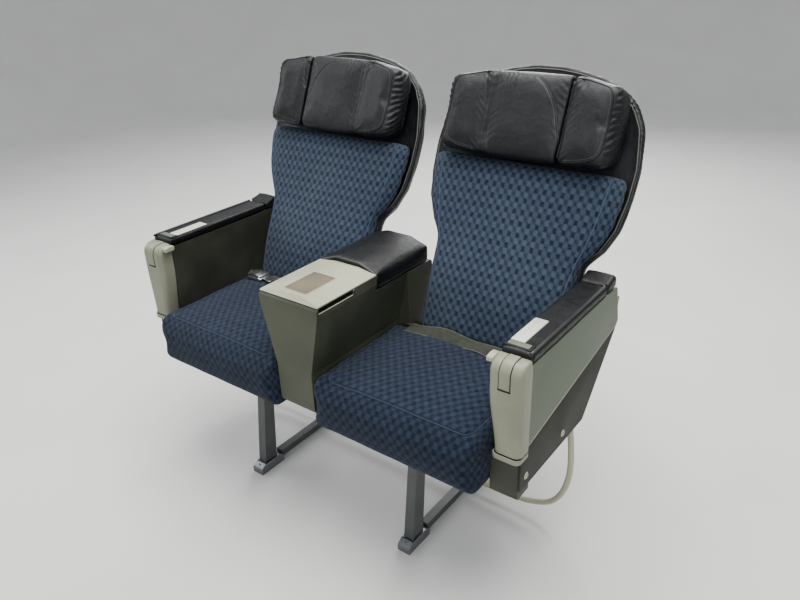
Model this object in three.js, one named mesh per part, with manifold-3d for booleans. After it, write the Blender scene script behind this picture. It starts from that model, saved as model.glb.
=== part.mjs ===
// Two-abreast cabin seat unit with a shared centre console.
// Millimetres, +Z up. The seats face -Y and X = 0 is the middle of the console.
// "aisle" is the seat at +X and "window" the seat at -X.

import * as THREE from 'three';
import { mergeVertices } from 'three/addons/utils/BufferGeometryUtils.js';
import Module from 'manifold-3d';

const wasm = await Module();
wasm.setup();

const seatCentre = 302;
const gap = 0.3;

// Floor structure
const track = { x: 265, width: 36, frontY: -230, rearY: 170, length: 90, height: 30 };
const tube = { radius: 22.5, length: 1090, frontY: -200, rearY: 0, z: 343 };
const clamp = { radius: 33, bore: 22.8, width: 36, top: 356 };
const rail = { width: 24, bottom: 10, top: 30.4 };
const bar = { radius: 7.5, floorZ: 38.8, y: 25 };

// Leg outlines in (y, z)
const legFoot = track.height + gap;
const frontStem = [[-252, legFoot], [-208, legFoot], [-184, 322], [-216, 322]];
const rearStem = [[148, legFoot], [192, legFoot], [20, 330], [-14, 318]];
const braceLine = [[126, 70], [146, 92], [-160, 340], [-182, 314]];

// Seat cushion and its pan
const pan = { halfWidth: 200, frontY: -226, rearY: 20, bottom: 366, top: 372.4 };
const cushion = { outerX: 510, innerX: 59, top: 491, bottom: 345, frontY: -352, rearY: 6, tuck: 38 };

// Reclining back, in its own frame: origin on the pivot, z up along the back, y to the rear
const pivot = { y: 75, z: 440 };
const backLean = THREE.MathUtils.degToRad(23.3);
const pin = { radius: 9, hole: 9.4, reach: 24, holeDepth: 30 };
const shell = { front: -35, rear: 12 };
const padFront = -72;

// Headrest, in the back's frame
const head = { bottom: 478, top: 676, front: -112, rear: -38, half: 98, seam: 100, wingEnd: 226, wingTip: -122,
  wingRear: -46.5 };
const hingeRod = { y: -106, radius: 2.7, clearance: 0.3 };
const seamBevel = { side: 7, front: 3 };
const headRail = { inner: 52, outer: 64, front: -47, bottom: 488, top: 674 };

// Arm, written for the aisle side
const arm = { inner: 512, outer: 583, panel: 6, frontY: -261.7, rim: 654.7, padTop: 678 };
const bin = { wall: 7, floor: 430, frontY: -240, rearY: 88 };

// Console
const consoleBox = { half: 91.5, flat: 38, foot: 56, footZ: 480, brow: 640, bottom: 366, frontY: -330, rearY: 118 };
const consolePad = { frontY: -117, rearY: 104, bottom: 625, side: 668, top: 688 };
const consoleTop = { rearY: -117.6, bottom: 664, side: 667, top: 675 };
const recess = { half: 34, frontY: -300, rearY: -198, depth: 4 };

const finish = {
  fabric: { color: 0x4c5f74, roughness: 0.95, metalness: 0 },
  leather: { color: 0x17181b, roughness: 0.5, metalness: 0 },
  cream: { color: 0xc4c2ae, roughness: 0.45, metalness: 0 },
  greyGreen: { color: 0x79816f, roughness: 0.6, metalness: 0 },
  olive: { color: 0x3b3d33, roughness: 0.6, metalness: 0 },
  mat: { color: 0x6f6a5e, roughness: 0.9, metalness: 0 },
  metal: { color: 0x9b9c9a, roughness: 0.4, metalness: 1 },
  chrome: { color: 0xd8d8d8, roughness: 0.15, metalness: 1 },
  webbing: { color: 0x4a4c44, roughness: 0.9, metalness: 0 },
};

// Shapes: an outline is a list of [a, b, radius], the radius rounding that corner with an arc.
const arcSteps = 4;

function outline(points) {
  const corners = points.map(([a, b, radius = 0]) => ({ at: new THREE.Vector2(a, b), radius }));
  const rounded = corners.flatMap(({ at, radius }, i) => {
    if (radius === 0) return [at];
    const back = corners.at(i - 1).at.clone().sub(at).normalize();
    const ahead = corners[(i + 1) % corners.length].at.clone().sub(at).normalize();
    const half = Math.acos(back.dot(ahead)) / 2;
    const centre = at.clone().addScaledVector(back.clone().add(ahead).normalize(), radius / Math.sin(half));
    const spoke = at.clone().addScaledVector(back, radius / Math.tan(half)).sub(centre);
    const turn = Math.sign(ahead.cross(back)) * (Math.PI - 2 * half);
    return Array.from({ length: arcSteps + 1 }, (_, step) => (
      spoke.clone().rotateAround(new THREE.Vector2(), turn * step / arcSteps).add(centre)));
  });
  return new THREE.Shape(rounded);
}

function mirrorOutline(half) {
  const other = half.map(([a, b, radius]) => [-a, b, radius]).reverse();
  return [...half, ...other];
}

// A prism of a shape. Along x the shape is drawn in (y, z), along y in (x, z), along z in (x, y).
function prism(points, axis, from, to, bevel = 0) {
  const geometry = new THREE.ExtrudeGeometry(outline(points), {
    depth: to - from - 2 * bevel,
    bevelEnabled: bevel > 0,
    bevelSize: bevel,
    bevelThickness: bevel,
    bevelOffset: -bevel,
    bevelSegments: 2,
  });
  geometry.translate(0, 0, bevel);
  if (axis === 'x') {
    geometry.applyMatrix4(new THREE.Matrix4().set(0, 0, 1, from, 1, 0, 0, 0, 0, 1, 0, 0, 0, 0, 0, 1));
  } else if (axis === 'y') {
    geometry.applyMatrix4(new THREE.Matrix4().set(1, 0, 0, 0, 0, 0, -1, to, 0, 1, 0, 0, 0, 0, 0, 1));
  } else {
    geometry.translate(0, 0, from);
  }
  return geometry;
}

function box([x0, x1], [y0, y1], [z0, z1]) {
  const geometry = new THREE.BoxGeometry(x1 - x0, y1 - y0, z1 - z0);
  return geometry.translate((x0 + x1) / 2, (y0 + y1) / 2, (z0 + z1) / 2);
}

function cylinderX(radius, x0, x1, y, z, sides = 24) {
  const geometry = new THREE.CylinderGeometry(radius, radius, x1 - x0, sides);
  return geometry.rotateZ(Math.PI / 2).translate((x0 + x1) / 2, y, z);
}

function cylinderZ(radius, z0, z1, x, y, sides = 16) {
  const geometry = new THREE.CylinderGeometry(radius, radius, z1 - z0, sides);
  return geometry.rotateX(Math.PI / 2).translate(x, y, (z0 + z1) / 2);
}

// Booleans
function toSolid(geometry) {
  const bare = geometry.clone();
  bare.deleteAttribute('normal');
  bare.deleteAttribute('uv');
  const merged = mergeVertices(bare, 1e-3);
  return new wasm.Manifold(new wasm.Mesh({
    numProp: 3,
    vertProperties: new Float32Array(merged.attributes.position.array),
    triVerts: new Uint32Array(merged.index.array),
  }));
}

function toGeometry(solid) {
  const mesh = solid.getMesh();
  const geometry = new THREE.BufferGeometry();
  geometry.setAttribute('position', new THREE.BufferAttribute(mesh.vertProperties, 3));
  geometry.setIndex(new THREE.BufferAttribute(mesh.triVerts, 1));
  geometry.computeVertexNormals();
  return geometry;
}

function joined(...geometries) {
  return toGeometry(geometries.map(toSolid).reduce((all, next) => all.add(next)));
}

function cut(body, ...tools) {
  return toGeometry(tools.map(toSolid).reduce((left, tool) => left.subtract(tool), toSolid(body)));
}

function common(a, b) {
  return toGeometry(toSolid(a).intersect(toSolid(b)));
}

function mirrored(geometry) {
  return toGeometry(toSolid(geometry).mirror([1, 0, 0]));
}

function mesh(name, geometry, look) {
  const piece = new THREE.Mesh(geometry, new THREE.MeshStandardMaterial(finish[look]));
  piece.name = name;
  return piece;
}

// A piece of the aisle side, or its mirror image on the window side
function sided(side, name, geometry, look) {
  const own = side.sign > 0 ? geometry : mirrored(geometry);
  return mesh(`${side.name}_${name}`, own, look);
}

// Floor structure: cross tubes on two leg frames that stand on the floor tracks
function crossTube(name, y) {
  return mesh(name, cylinderX(tube.radius, -tube.length / 2, tube.length / 2, y, tube.z), 'metal');
}

function clampBore(y) {
  return cylinderX(clamp.bore, track.x - 40, track.x + 40, y, tube.z);
}

function clampMouth(y) {
  return box([track.x - 40, track.x + 40], [y - 40, y + 40], [clamp.top, clamp.top + 40]);
}

function clampRing(y) {
  return cylinderX(clamp.radius, track.x - clamp.width / 2, track.x + clamp.width / 2, y, tube.z);
}

function strut(points, width) {
  return prism(points, 'x', track.x - width / 2, track.x + width / 2);
}

function frontLeg() {
  const leg = joined(clampRing(tube.frontY), strut(frontStem, 28));
  return cut(leg, clampBore(tube.frontY), clampMouth(tube.frontY));
}

function rearLeg() {
  const leg = joined(clampRing(tube.rearY), strut(rearStem, 28));
  return cut(leg, clampBore(tube.rearY), clampMouth(tube.rearY));
}

// The brace runs from the rear leg's foot up to the front clamp, cut to fit both.
function legBrace() {
  const brace = strut(braceLine, 18);
  const [footFront, footRear, topRear, topFront] = rearStem;
  const leg = strut([[footFront[0] - gap, 0], [footRear[0], 0], [topRear[0], topRear[1] + 20],
    [topFront[0] - gap, topFront[1]]], 40);
  const clampClearance = cylinderX(clamp.radius + gap, track.x - 40, track.x + 40, tube.frontY, tube.z);
  return cut(brace, leg, clampClearance);
}

function trackFitting(y) {
  const half = track.length / 2;
  const side = [[y - half, 0, 3], [y + half, 0, 3], [y + half, 20, 8], [y + half - 18, track.height, 8],
    [y - half + 18, track.height, 8], [y - half, 20, 8]];
  return prism(side, 'x', track.x - track.width / 2, track.x + track.width / 2);
}

function tieRail() {
  const end = track.length / 2 + gap;
  return box([track.x - rail.width / 2, track.x + rail.width / 2],
    [track.frontY + end, track.rearY - end], [rail.bottom, rail.top]);
}

function addLegFrame(group, side) {
  group.add(
    sided(side, 'front_leg', frontLeg(), 'metal'),
    sided(side, 'rear_leg', rearLeg(), 'metal'),
    sided(side, 'leg_brace', legBrace(), 'metal'),
    sided(side, 'front_track_fitting', trackFitting(track.frontY), 'metal'),
    sided(side, 'rear_track_fitting', trackFitting(track.rearY), 'metal'),
    sided(side, 'tie_rail', tieRail(), 'metal'),
  );
}

// Luggage bar: from under one arm down to the floor, across on the tie rails and up to the other
function luggageBar() {
  const half = [[564, -5, 365], [564.4, -5, 348], [571, -4, 290], [572, 0, 215], [556, 8, 142],
    [522, 18, 84], [470, 24, 53], [410, bar.y, bar.floorZ + 2], [340, bar.y, bar.floorZ], [190, bar.y, bar.floorZ]];
  const points = [...half, ...half.map(([x, y, z]) => [-x, y, z]).reverse()];
  const route = new THREE.CatmullRomCurve3(points.map((p) => new THREE.Vector3(...p)));
  const section = new THREE.Shape().absarc(0, 0, bar.radius, 0, 2 * Math.PI);
  return new THREE.ExtrudeGeometry(section, {
    steps: 44, curveSegments: 4, bevelEnabled: false, extrudePath: route,
  });
}

// Seat cushion: a waterfall front roll hangs in front of the cross tube
function seatPan() {
  return box([seatCentre - pan.halfWidth, seatCentre + pan.halfWidth],
    [pan.frontY, pan.rearY], [pan.bottom, pan.top]);
}

function seatCushion() {
  const { frontY, rearY, top, bottom, tuck, innerX, outerX } = cushion;
  const side = [[rearY - tuck, pan.top + gap, 12], [rearY, top, 12], [frontY, top, 62],
    [frontY, bottom, 26], [pan.frontY - 10, bottom, 12], [pan.frontY - 10, pan.top + gap]];
  return prism(side, 'x', innerX, outerX, 10);
}

// Lap belt lying in the crease, its buckle next to the arm
const belt = { frontY: -44, rearY: 2, thick: 2.6, drop: 34 };
const strapZ = cushion.top + gap;

function strap(x0, x1, riser0, riser1) {
  const flat = box([x0, x1], [belt.frontY, belt.rearY], [strapZ, strapZ + belt.thick]);
  const back = cushion.rearY + gap;
  const foot = back - belt.drop * cushion.tuck / (cushion.top - pan.top - gap);
  const riser = prism([
    [belt.rearY - 1, strapZ],
    [back, strapZ],
    [foot, strapZ - belt.drop],
    [foot + belt.thick, strapZ - belt.drop],
    [back + belt.thick, strapZ],
    [back + belt.thick, strapZ + belt.thick],
    [belt.rearY - 1, strapZ + belt.thick],
  ], 'x', riser0, riser1);
  return joined(flat, riser);
}

function addBelt(group, side) {
  const top = strapZ + belt.thick + gap;
  const tongue = prism([[378, -38, 8], [416.7, -32], [416.7, -10], [378, -4, 8]], 'z', top, top + 3);
  const buckle = prism([[417, -46, 8], [478, -46, 8], [478, 2, 8], [417, 2, 8]], 'z', strapZ, strapZ + 19, 4);
  group.add(
    sided(side, 'belt_long_strap', strap(112, 412, 112, 158), 'webbing'),
    sided(side, 'belt_short_strap', strap(478.3, 505, 479, 505), 'webbing'),
    sided(side, 'belt_tongue', tongue, 'chrome'),
    sided(side, 'belt_buckle', buckle, 'chrome'),
  );
}

// Arm: a box with a tray bin under a padded lid, side panels and a front cap
function armBox() {
  const { inner, outer, frontY, rim } = arm;
  const side = [[frontY, rim], [150, rim], [183, 549, 8], [63, 409, 8], [21, 366, 6], [-238, 366],
    [-238, 340], [-288, 340, 6], [-288, 440.7], [frontY, 440.7]];
  const body = prism(side, 'x', inner, outer - arm.panel - gap);
  const hollow = box([inner + bin.wall, outer - arm.panel - gap - bin.wall], [bin.frontY, bin.rearY],
    [bin.floor, rim + 20]);
  const pivotPin = cylinderX(pin.radius, inner - pin.reach, inner + 4, pivot.y, pivot.z);
  return joined(cut(body, hollow), pivotPin);
}

function armOuterPanel() {
  const side = [[arm.frontY, 468], [189, 549, 10], [158, arm.rim, 10], [arm.frontY, arm.rim]];
  return prism(side, 'x', arm.outer - arm.panel, arm.outer);
}

function armLowerPanel() {
  const side = [[arm.frontY, 440.7], [-288, 440.7], [-290, 363, 8], [21, 363, 6], [63, 409, 8],
    [184, 546, 4], [arm.frontY, 467.5]];
  return prism(side, 'x', arm.outer - arm.panel, arm.outer - 1);
}

function armCap() {
  const side = [[arm.frontY - gap, 441], [-306, 441, 9], [-303, 600], [-298, 664, 26], [arm.frontY - gap, 666]];
  return prism(side, 'x', arm.inner - 1, arm.outer + 1, 8);
}

// Web behind the bin that the fixed rear pad is screwed to
function armRearPadSeat() {
  return box([arm.inner, arm.outer - arm.panel - gap], [bin.rearY, 148], [600, arm.rim]);
}

function armRearPad() {
  const side = [[bin.rearY + 10, arm.rim + gap], [150, arm.rim + gap], [140, 676, 10], [bin.rearY + 10, 678, 6]];
  return prism(side, 'x', arm.inner, arm.outer, 4);
}

function armLid() {
  const side = [[arm.frontY, arm.rim + gap], [bin.rearY + 4, arm.rim + gap], [bin.rearY + 4, arm.padTop, 8],
    [arm.frontY, arm.padTop, 8]];
  return prism(side, 'x', arm.inner, arm.outer, 4);
}

function trayLeaf() {
  const side = [[-234, bin.floor + gap, 12], [74, bin.floor + gap, 12], [74, 640, 20], [-234, 640, 20]];
  return prism(side, 'x', 531, 557, 3);
}

function reclineLever() {
  return prism([[-288, 650, 5], [-258, 650, 4], [-258, 664, 4], [-288, 664, 6]], 'x', 496, arm.inner - 1 - gap);
}

function addArm(group, side) {
  group.add(
    sided(side, 'arm_box', joined(armBox(), armRearPadSeat()), 'olive'),
    sided(side, 'arm_rear_pad', armRearPad(), 'leather'),
    sided(side, 'arm_outer_panel', armOuterPanel(), 'greyGreen'),
    sided(side, 'arm_lower_panel', armLowerPanel(), 'olive'),
    sided(side, 'arm_front_cap', armCap(), 'cream'),
    sided(side, 'tray_leaf', trayLeaf(), 'cream'),
    sided(side, 'recline_lever', reclineLever(), 'cream'),
    sided(side, 'arm_lid', armLid(), 'leather'),
  );
}

// Console between the seats
function consoleBody() {
  const { half, frontY, rearY, bottom } = consoleBox;
  const side = [[frontY, bottom, 20], [rearY, bottom, 10], [rearY, consolePad.bottom, 10],
    [consolePad.frontY, consolePad.bottom], [consolePad.frontY, consoleTop.bottom],
    [frontY, consoleTop.bottom, 12]];
  const block = prism(side, 'x', -half, half);
  const waist = [-1, 1].map((sign) => prism([
    [sign * (half + 20), bottom - 20],
    [sign * consoleBox.foot, bottom - 20],
    [sign * consoleBox.foot, consoleBox.footZ],
    [sign * half, consoleBox.brow],
    [sign * (half + 20), consoleBox.brow],
  ], 'y', frontY - 20, cushion.rearY + 3));
  const slots = [-1, 1].map((sign) => {
    const face = [sign * half + 5, sign * half - 5];
    return box([Math.min(...face), Math.max(...face)], [-322, -205], [651, 662]);
  });
  const pivotPin = cylinderX(pin.radius, -half - pin.reach, half + pin.reach, pivot.y, pivot.z);
  return joined(cut(block, ...slots, ...waist), pivotPin);
}

function ridge({ bottom, side, top }) {
  return mirrorOutline([[consoleBox.half, bottom], [consoleBox.half, side, 1], [consoleBox.flat, top, 4]]);
}

function consoleTopCover() {
  const section = ridge({ ...consoleTop, bottom: consoleTop.bottom + gap });
  const slab = prism(section, 'y', consoleBox.frontY, consoleTop.rearY);
  const nose = prism([[consoleBox.frontY, 600], [consoleTop.rearY, 600], [consoleTop.rearY, 700],
    [consoleBox.frontY + 40, 700], [consoleBox.frontY, 660]], 'x', -100, 100);
  const hollow = box([-recess.half, recess.half], [recess.frontY, recess.rearY],
    [consoleTop.top - recess.depth, consoleTop.top + 5]);
  return cut(common(slab, nose), hollow);
}

function consoleMat() {
  const floor = consoleTop.top - recess.depth + gap;
  return box([gap - recess.half, recess.half - gap], [recess.frontY + gap, recess.rearY - gap],
    [floor, floor + 2.2]);
}

function consolePadSolid() {
  const section = ridge({ ...consolePad, bottom: consolePad.bottom + gap });
  return prism(section, 'y', consolePad.frontY, consolePad.rearY);
}

// Reclining back
function backShell() {
  const half = [[204, -45, 24], [204, 254, 12], [238, 288, 24], [264, 345, 40], [276, 420, 60], [278, 495, 60],
    [263, 585, 60], [237, 632, 50], [194, 673, 50], [140, 694, 60], [80, 707, 60], [30, 713]];
  const body = prism(mirrorOutline(half), 'y', shell.front, shell.rear, 6);
  const holes = [-1, 1].map((sign) => {
    const ends = [sign * 210, sign * (204 - pin.holeDepth)];
    return cylinderX(pin.hole, Math.min(...ends), Math.max(...ends), 0, 0);
  });
  const rails = [-1, 1].map((sign) => {
    const across = [sign * headRail.inner, sign * headRail.outer].sort((a, b) => a - b);
    return box(across, [headRail.front, shell.front + 2], [headRail.bottom, headRail.top]);
  });
  return cut(joined(body, ...rails), ...holes);
}

function backCushion() {
  const half = [[196, -8, 30], [201, 252, 12], [226, 286, 24], [250, 345, 40], [262, 410, 40], [264, 470, 26]];
  return prism(mirrorOutline(half), 'y', padFront, shell.front - gap, 10);
}

function literaturePocket() {
  const rear = shell.rear + gap;
  const panel = box([-165, 165], [rear, rear + 22], [25, 235]);
  const hollow = box([-158, 158], [rear - 5, rear + 16], [32, 240]);
  return cut(panel, hollow);
}

function headrestCentre() {
  const half = [[head.half, head.rear], [head.half, head.front + seamBevel.side],
    [head.half - seamBevel.front, head.front]];
  const pad = prism(mirrorOutline(half), 'z', head.bottom, head.top, 5);
  const rods = [-1, 1].map((sign) => (
    cylinderZ(hingeRod.radius, head.bottom + 8, head.top - 8, sign * head.seam, hingeRod.y)));
  const slots = [-1, 1].map((sign) => {
    const across = [sign * (headRail.inner - gap), sign * (headRail.outer + gap)].sort((a, b) => a - b);
    return box(across, [headRail.front - gap, head.rear + 5], [head.bottom - 5, head.top + 5]);
  });
  return cut(joined(pad, ...rods), ...slots);
}

function headrestWing() {
  const inner = 2 * head.seam - head.half;
  const section = [[inner, head.wingRear], [inner, head.front + seamBevel.side],
    [inner + seamBevel.front, head.front], [206, head.wingTip, 16], [head.wingEnd, -88, 14],
    [head.wingEnd - 6, head.wingRear, 14]];
  const wing = prism([...section].reverse(), 'z', head.bottom, head.top, 5);
  const groove = cylinderZ(hingeRod.radius + hingeRod.clearance, head.bottom - 5, head.top + 5,
    head.seam, hingeRod.y);
  return cut(wing, groove);
}

function addBack(group, side) {
  const back = new THREE.Group();
  back.position.set(side.sign * seatCentre, pivot.y, pivot.z);
  back.rotation.x = -backLean;
  back.add(
    mesh(`${side.name}_back_shell`, backShell(), 'leather'),
    mesh(`${side.name}_back_cushion`, backCushion(), 'fabric'),
    mesh(`${side.name}_literature_pocket`, literaturePocket(), 'leather'),
    mesh(`${side.name}_headrest_centre`, headrestCentre(), 'leather'),
    mesh(`${side.name}_headrest_right_wing`, headrestWing(), 'leather'),
    mesh(`${side.name}_headrest_left_wing`, mirrored(headrestWing()), 'leather'),
  );
  group.add(back);
}

// The whole unit
function build() {
  const unit = new THREE.Group();
  unit.add(
    crossTube('front_cross_tube', tube.frontY),
    crossTube('rear_cross_tube', tube.rearY),
    mesh('luggage_bar', luggageBar(), 'cream'),
    mesh('console_body', consoleBody(), 'olive'),
    mesh('console_top', consoleTopCover(), 'cream'),
    mesh('console_mat', consoleMat(), 'mat'),
    mesh('console_pad', consolePadSolid(), 'leather'),
  );
  for (const side of [{ name: 'aisle', sign: 1 }, { name: 'window', sign: -1 }]) {
    addLegFrame(unit, side);
    unit.add(
      sided(side, 'seat_pan', seatPan(), 'metal'),
      sided(side, 'seat_cushion', seatCushion(), 'fabric'),
    );
    addBelt(unit, side);
    addArm(unit, side);
    addBack(unit, side);
  }
  return unit;
}

export default build();
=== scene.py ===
"""Looks for a two-abreast cabin seat unit with a shared centre console.

Shapes are in millimetres in the part's own axes: x across, y to the rear, z up. Pieces of a reclining
back are in the back's own frame, with its origin on the recline pivot, z along the back and y to the rear.
A seat's pieces are drawn for the aisle side, and the window side is their mirror image.
"""

import math
from functools import cache

import bmesh
import bpy
import numpy as np
from mathutils import Matrix, Vector, kdtree, noise
from mathutils.bvhtree import BVHTree


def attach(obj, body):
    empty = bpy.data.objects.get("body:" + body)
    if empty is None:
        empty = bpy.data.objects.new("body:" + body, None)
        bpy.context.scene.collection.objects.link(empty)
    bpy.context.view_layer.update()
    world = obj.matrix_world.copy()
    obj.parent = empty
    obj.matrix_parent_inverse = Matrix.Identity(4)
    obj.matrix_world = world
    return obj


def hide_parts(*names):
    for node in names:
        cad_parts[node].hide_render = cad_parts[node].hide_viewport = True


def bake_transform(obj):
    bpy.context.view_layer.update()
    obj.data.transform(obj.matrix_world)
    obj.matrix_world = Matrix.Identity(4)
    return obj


MM = 0.001
SIDES = {"aisle": 1, "window": -1}
SIGNS = (-1, 1)
IDENTITY = Matrix.Identity(4)

# Main sizes of the part
SEAT_X = 302
PIVOT_Y, PIVOT_Z = 75, 440
LEAN = math.radians(23.3)
CUSHION = {"inner": 59, "outer": 510, "top": 491, "bottom": 345, "front": -352, "rear": 6, "pan": 372.7}
# Back cushion: its ends, and (height, half width of the front panel, half width of the whole)
BACK_LOW, BACK_HIGH = -7, 470
BACK_WIDTHS = [
    (-8, 173, 189), (22, 177, 196), (60, 178, 198), (177, 180, 200), (242, 187, 201), (264, 191, 208),
    (290, 199, 227), (345, 211, 249), (410, 221, 261), (472, 226, 264),
]
# Right half of the shell, from the foot up: (x, height, corner radius)
SHELL_OUTLINE = [
    (204, -45, 24), (204, 254, 12), (238, 288, 24), (264, 345, 40), (276, 420, 60), (278, 495, 60),
    (263, 585, 60), (237, 632, 50), (194, 673, 50), (140, 694, 60), (80, 707, 60), (30, 713),
]
BACK_FRONT, BACK_REAR = -72, -35.3
SHELL_FRONT, SHELL_REAR = -35, 12
HEAD = {"bottom": 478, "top": 676, "front": -112, "rear": -38, "half": 98, "seam": 100}
WING_INNER = 2 * HEAD["seam"] - HEAD["half"] + 1
ARM = {"inner": 512, "outer": 583, "front": -261.7, "rim": 654.7, "pad": 678, "rear": 92}
CAP = {"front": -304.5, "low": 441.5, "top": 666, "nose": 26, "middle": 546}
CONSOLE = {"half": 91.5, "flat": 38, "pad_front": -117, "pad_rear": 104, "side": 668, "top": 688}
TUBE = {"radius": 22.5, "half": 545, "z": 343}
TUBE_Y = {"front_cross_tube": -200, "rear_cross_tube": 0}
STRAP_THICK = 2.2
BEAD_RADIUS = 3.1
# Rays start this far outside a surface. Seams are dropped on it along one of the directions.
RAY_START = 400
DOWN, TO_REAR, TO_FRONT = (0, 0, -1), (0, 1, 0), (0, -1, 0)
# Rows of thread: pitch, length and half thickness of a stitch
STITCH = {"plain": (5.5, 3.7, 0.55), "fine": (4.6, 3.0, 0.45), "heavy": (8.6, 5.8, 0.8)}

CLOTH_FRAMES = 20

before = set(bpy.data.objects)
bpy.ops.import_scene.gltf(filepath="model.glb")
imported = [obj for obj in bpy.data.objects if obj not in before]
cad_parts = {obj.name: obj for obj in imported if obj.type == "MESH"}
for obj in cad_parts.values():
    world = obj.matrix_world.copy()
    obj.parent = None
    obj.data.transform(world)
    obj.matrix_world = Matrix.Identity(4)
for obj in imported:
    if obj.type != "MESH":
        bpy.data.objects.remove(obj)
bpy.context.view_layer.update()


# Forms


class Form:
    """Points in millimetres and the faces between them."""

    def __init__(self, points, faces):
        self.points = np.asarray(points, float).reshape(-1, 3)
        self.faces = [tuple(face) for face in faces]

    def normals(self):
        mesh = mesh_of(self)
        values = np.zeros(len(mesh.vertices) * 3)
        mesh.vertex_normals.foreach_get("vector", values)
        bpy.data.meshes.remove(mesh)
        return values.reshape(-1, 3)

    def shifted(self, offsets):
        return Form(self.points + offsets, self.faces)

    def moved(self, axis, amounts):
        """Each point moved by its own amount along x, y or z."""
        offsets = np.zeros_like(self.points)
        offsets[:, "xyz".index(axis)] = amounts
        return self.shifted(offsets)

    def placed(self, matrix):
        turned = np.array(matrix)
        faces = self.faces if matrix.determinant() > 0 else [face[::-1] for face in self.faces]
        return Form(self.points @ turned[:3, :3].T + turned[:3, 3], faces)


def merged(*forms):
    points, faces, start = [], [], 0
    for form in forms:
        points.append(form.points)
        faces.extend(tuple(i + start for i in face) for face in form.faces)
        start += len(form.points)
    return Form(np.vstack(points), faces)


def mesh_of(form, name="scratch"):
    mesh = bpy.data.meshes.new(name)
    mesh.from_pydata((form.points * MM).tolist(), [], form.faces)
    mesh.update()
    return mesh


def scratch_object(form):
    obj = bpy.data.objects.new("scratch", mesh_of(form))
    bpy.context.scene.collection.objects.link(obj)
    return obj


def evaluated(obj):
    shown = obj.evaluated_get(bpy.context.evaluated_depsgraph_get())
    mesh = shown.to_mesh()
    points = np.zeros(len(mesh.vertices) * 3)
    mesh.vertices.foreach_get("co", points)
    form = Form(points / MM, [polygon.vertices[:] for polygon in mesh.polygons])
    shown.to_mesh_clear()
    return form


def through(form, *steps):
    """The form after a stack of modifiers, each given as its type and settings."""
    obj = scratch_object(form)
    for kind, settings in steps:
        modifier = obj.modifiers.new(kind.lower(), kind)
        for key, value in settings.items():
            setattr(modifier, key, value)
    result = evaluated(obj)
    bpy.data.objects.remove(obj)
    return result


def smoothing(times):
    return "SMOOTH", {"factor": 0.5, "iterations": times}


def voxels(size):
    return "REMESH", {"mode": "VOXEL", "voxel_size": size * MM}


def subdivided(levels):
    return "SUBSURF", {"levels": levels, "render_levels": levels}


def unit(vector):
    vector = np.asarray(vector, float)
    return vector / max(np.linalg.norm(vector), 1e-9)


def units(rows):
    return rows / np.maximum(np.linalg.norm(rows, axis=1, keepdims=True), 1e-9)


def circle(sides):
    angles = np.arange(sides) * 2 * math.pi / sides
    return np.stack([np.cos(angles), np.sin(angles)], 1)


def rounded(corners, steps=6):
    """An outline of (a, b, radius) corners as points, each corner turned into an arc."""
    loop = []
    for i, (a, b, *rest) in enumerate(corners):
        here = np.array([a, b], float)
        radius = rest[0] if rest else 0
        if radius == 0:
            loop.append(here)
            continue
        back = unit(np.array(corners[i - 1][:2]) - here)
        ahead = unit(np.array(corners[(i + 1) % len(corners)][:2]) - here)
        half = math.acos(np.clip(back @ ahead, -1, 1)) / 2
        centre = here + unit(back + ahead) * radius / math.sin(half)
        spoke = here + back * radius / math.tan(half) - centre
        turn = math.copysign(math.pi - 2 * half, ahead[0] * back[1] - ahead[1] * back[0])
        for step in range(steps + 1):
            angle = turn * step / steps
            cos, sin = math.cos(angle), math.sin(angle)
            loop.append(centre + [spoke[0] * cos - spoke[1] * sin, spoke[0] * sin + spoke[1] * cos])
    return np.array(loop)


def rect(low, high, radius=0, far=None):
    """A rectangle's corners, with one radius or another one at its high edge."""
    (a0, b0), (a1, b1) = low, high
    far = radius if far is None else far
    return [(a0, b0, radius), (a1, b0, radius), (a1, b1, far), (a0, b1, far)]


def both_halves(half):
    return list(half) + [(-a, *rest) for a, *rest in reversed(half)]


def inset(loop, distance):
    """The loop moved inwards, point for point."""
    tangent = units(units(np.roll(loop, -1, 0) - loop) + units(loop - np.roll(loop, 1, 0)))
    area = np.sum(loop[:, 0] * np.roll(loop[:, 1], -1) - loop[:, 1] * np.roll(loop[:, 0], -1))
    inwards = np.stack([-tangent[:, 1], tangent[:, 0]], 1) * math.copysign(1, area)
    return loop + inwards * distance


def ring(loop, axis, at):
    """A flat loop in space. Along x it is in (y, z), along y in (x, z), along z in (x, y)."""
    return np.insert(loop, "xyz".index(axis), at, axis=1)


def loft(rings, closed=True, capped=True):
    count = len(rings[0])
    faces = []
    for low in range(0, (len(rings) - 1) * count, count):
        for i in range(count if closed else count - 1):
            j = (i + 1) % count
            faces.append((low + i, low + j, low + count + j, low + count + i))
    if capped:
        faces.append(tuple(range(count))[::-1])
        faces.append(tuple(range((len(rings) - 1) * count, len(rings) * count)))
    return Form(np.vstack(rings), faces)


def soft_prism(loop, axis, low, high, ends, middle=()):
    """Rings of a prism that draws in at its ends, given as distances from the end and insets."""
    stations = [(low + at, deep) for at, deep in ends] + [(at, 0) for at in middle]
    stations += [(high - at, deep) for at, deep in reversed(ends)]
    return [ring(inset(loop, deep), axis, at) for at, deep in stations]


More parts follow.
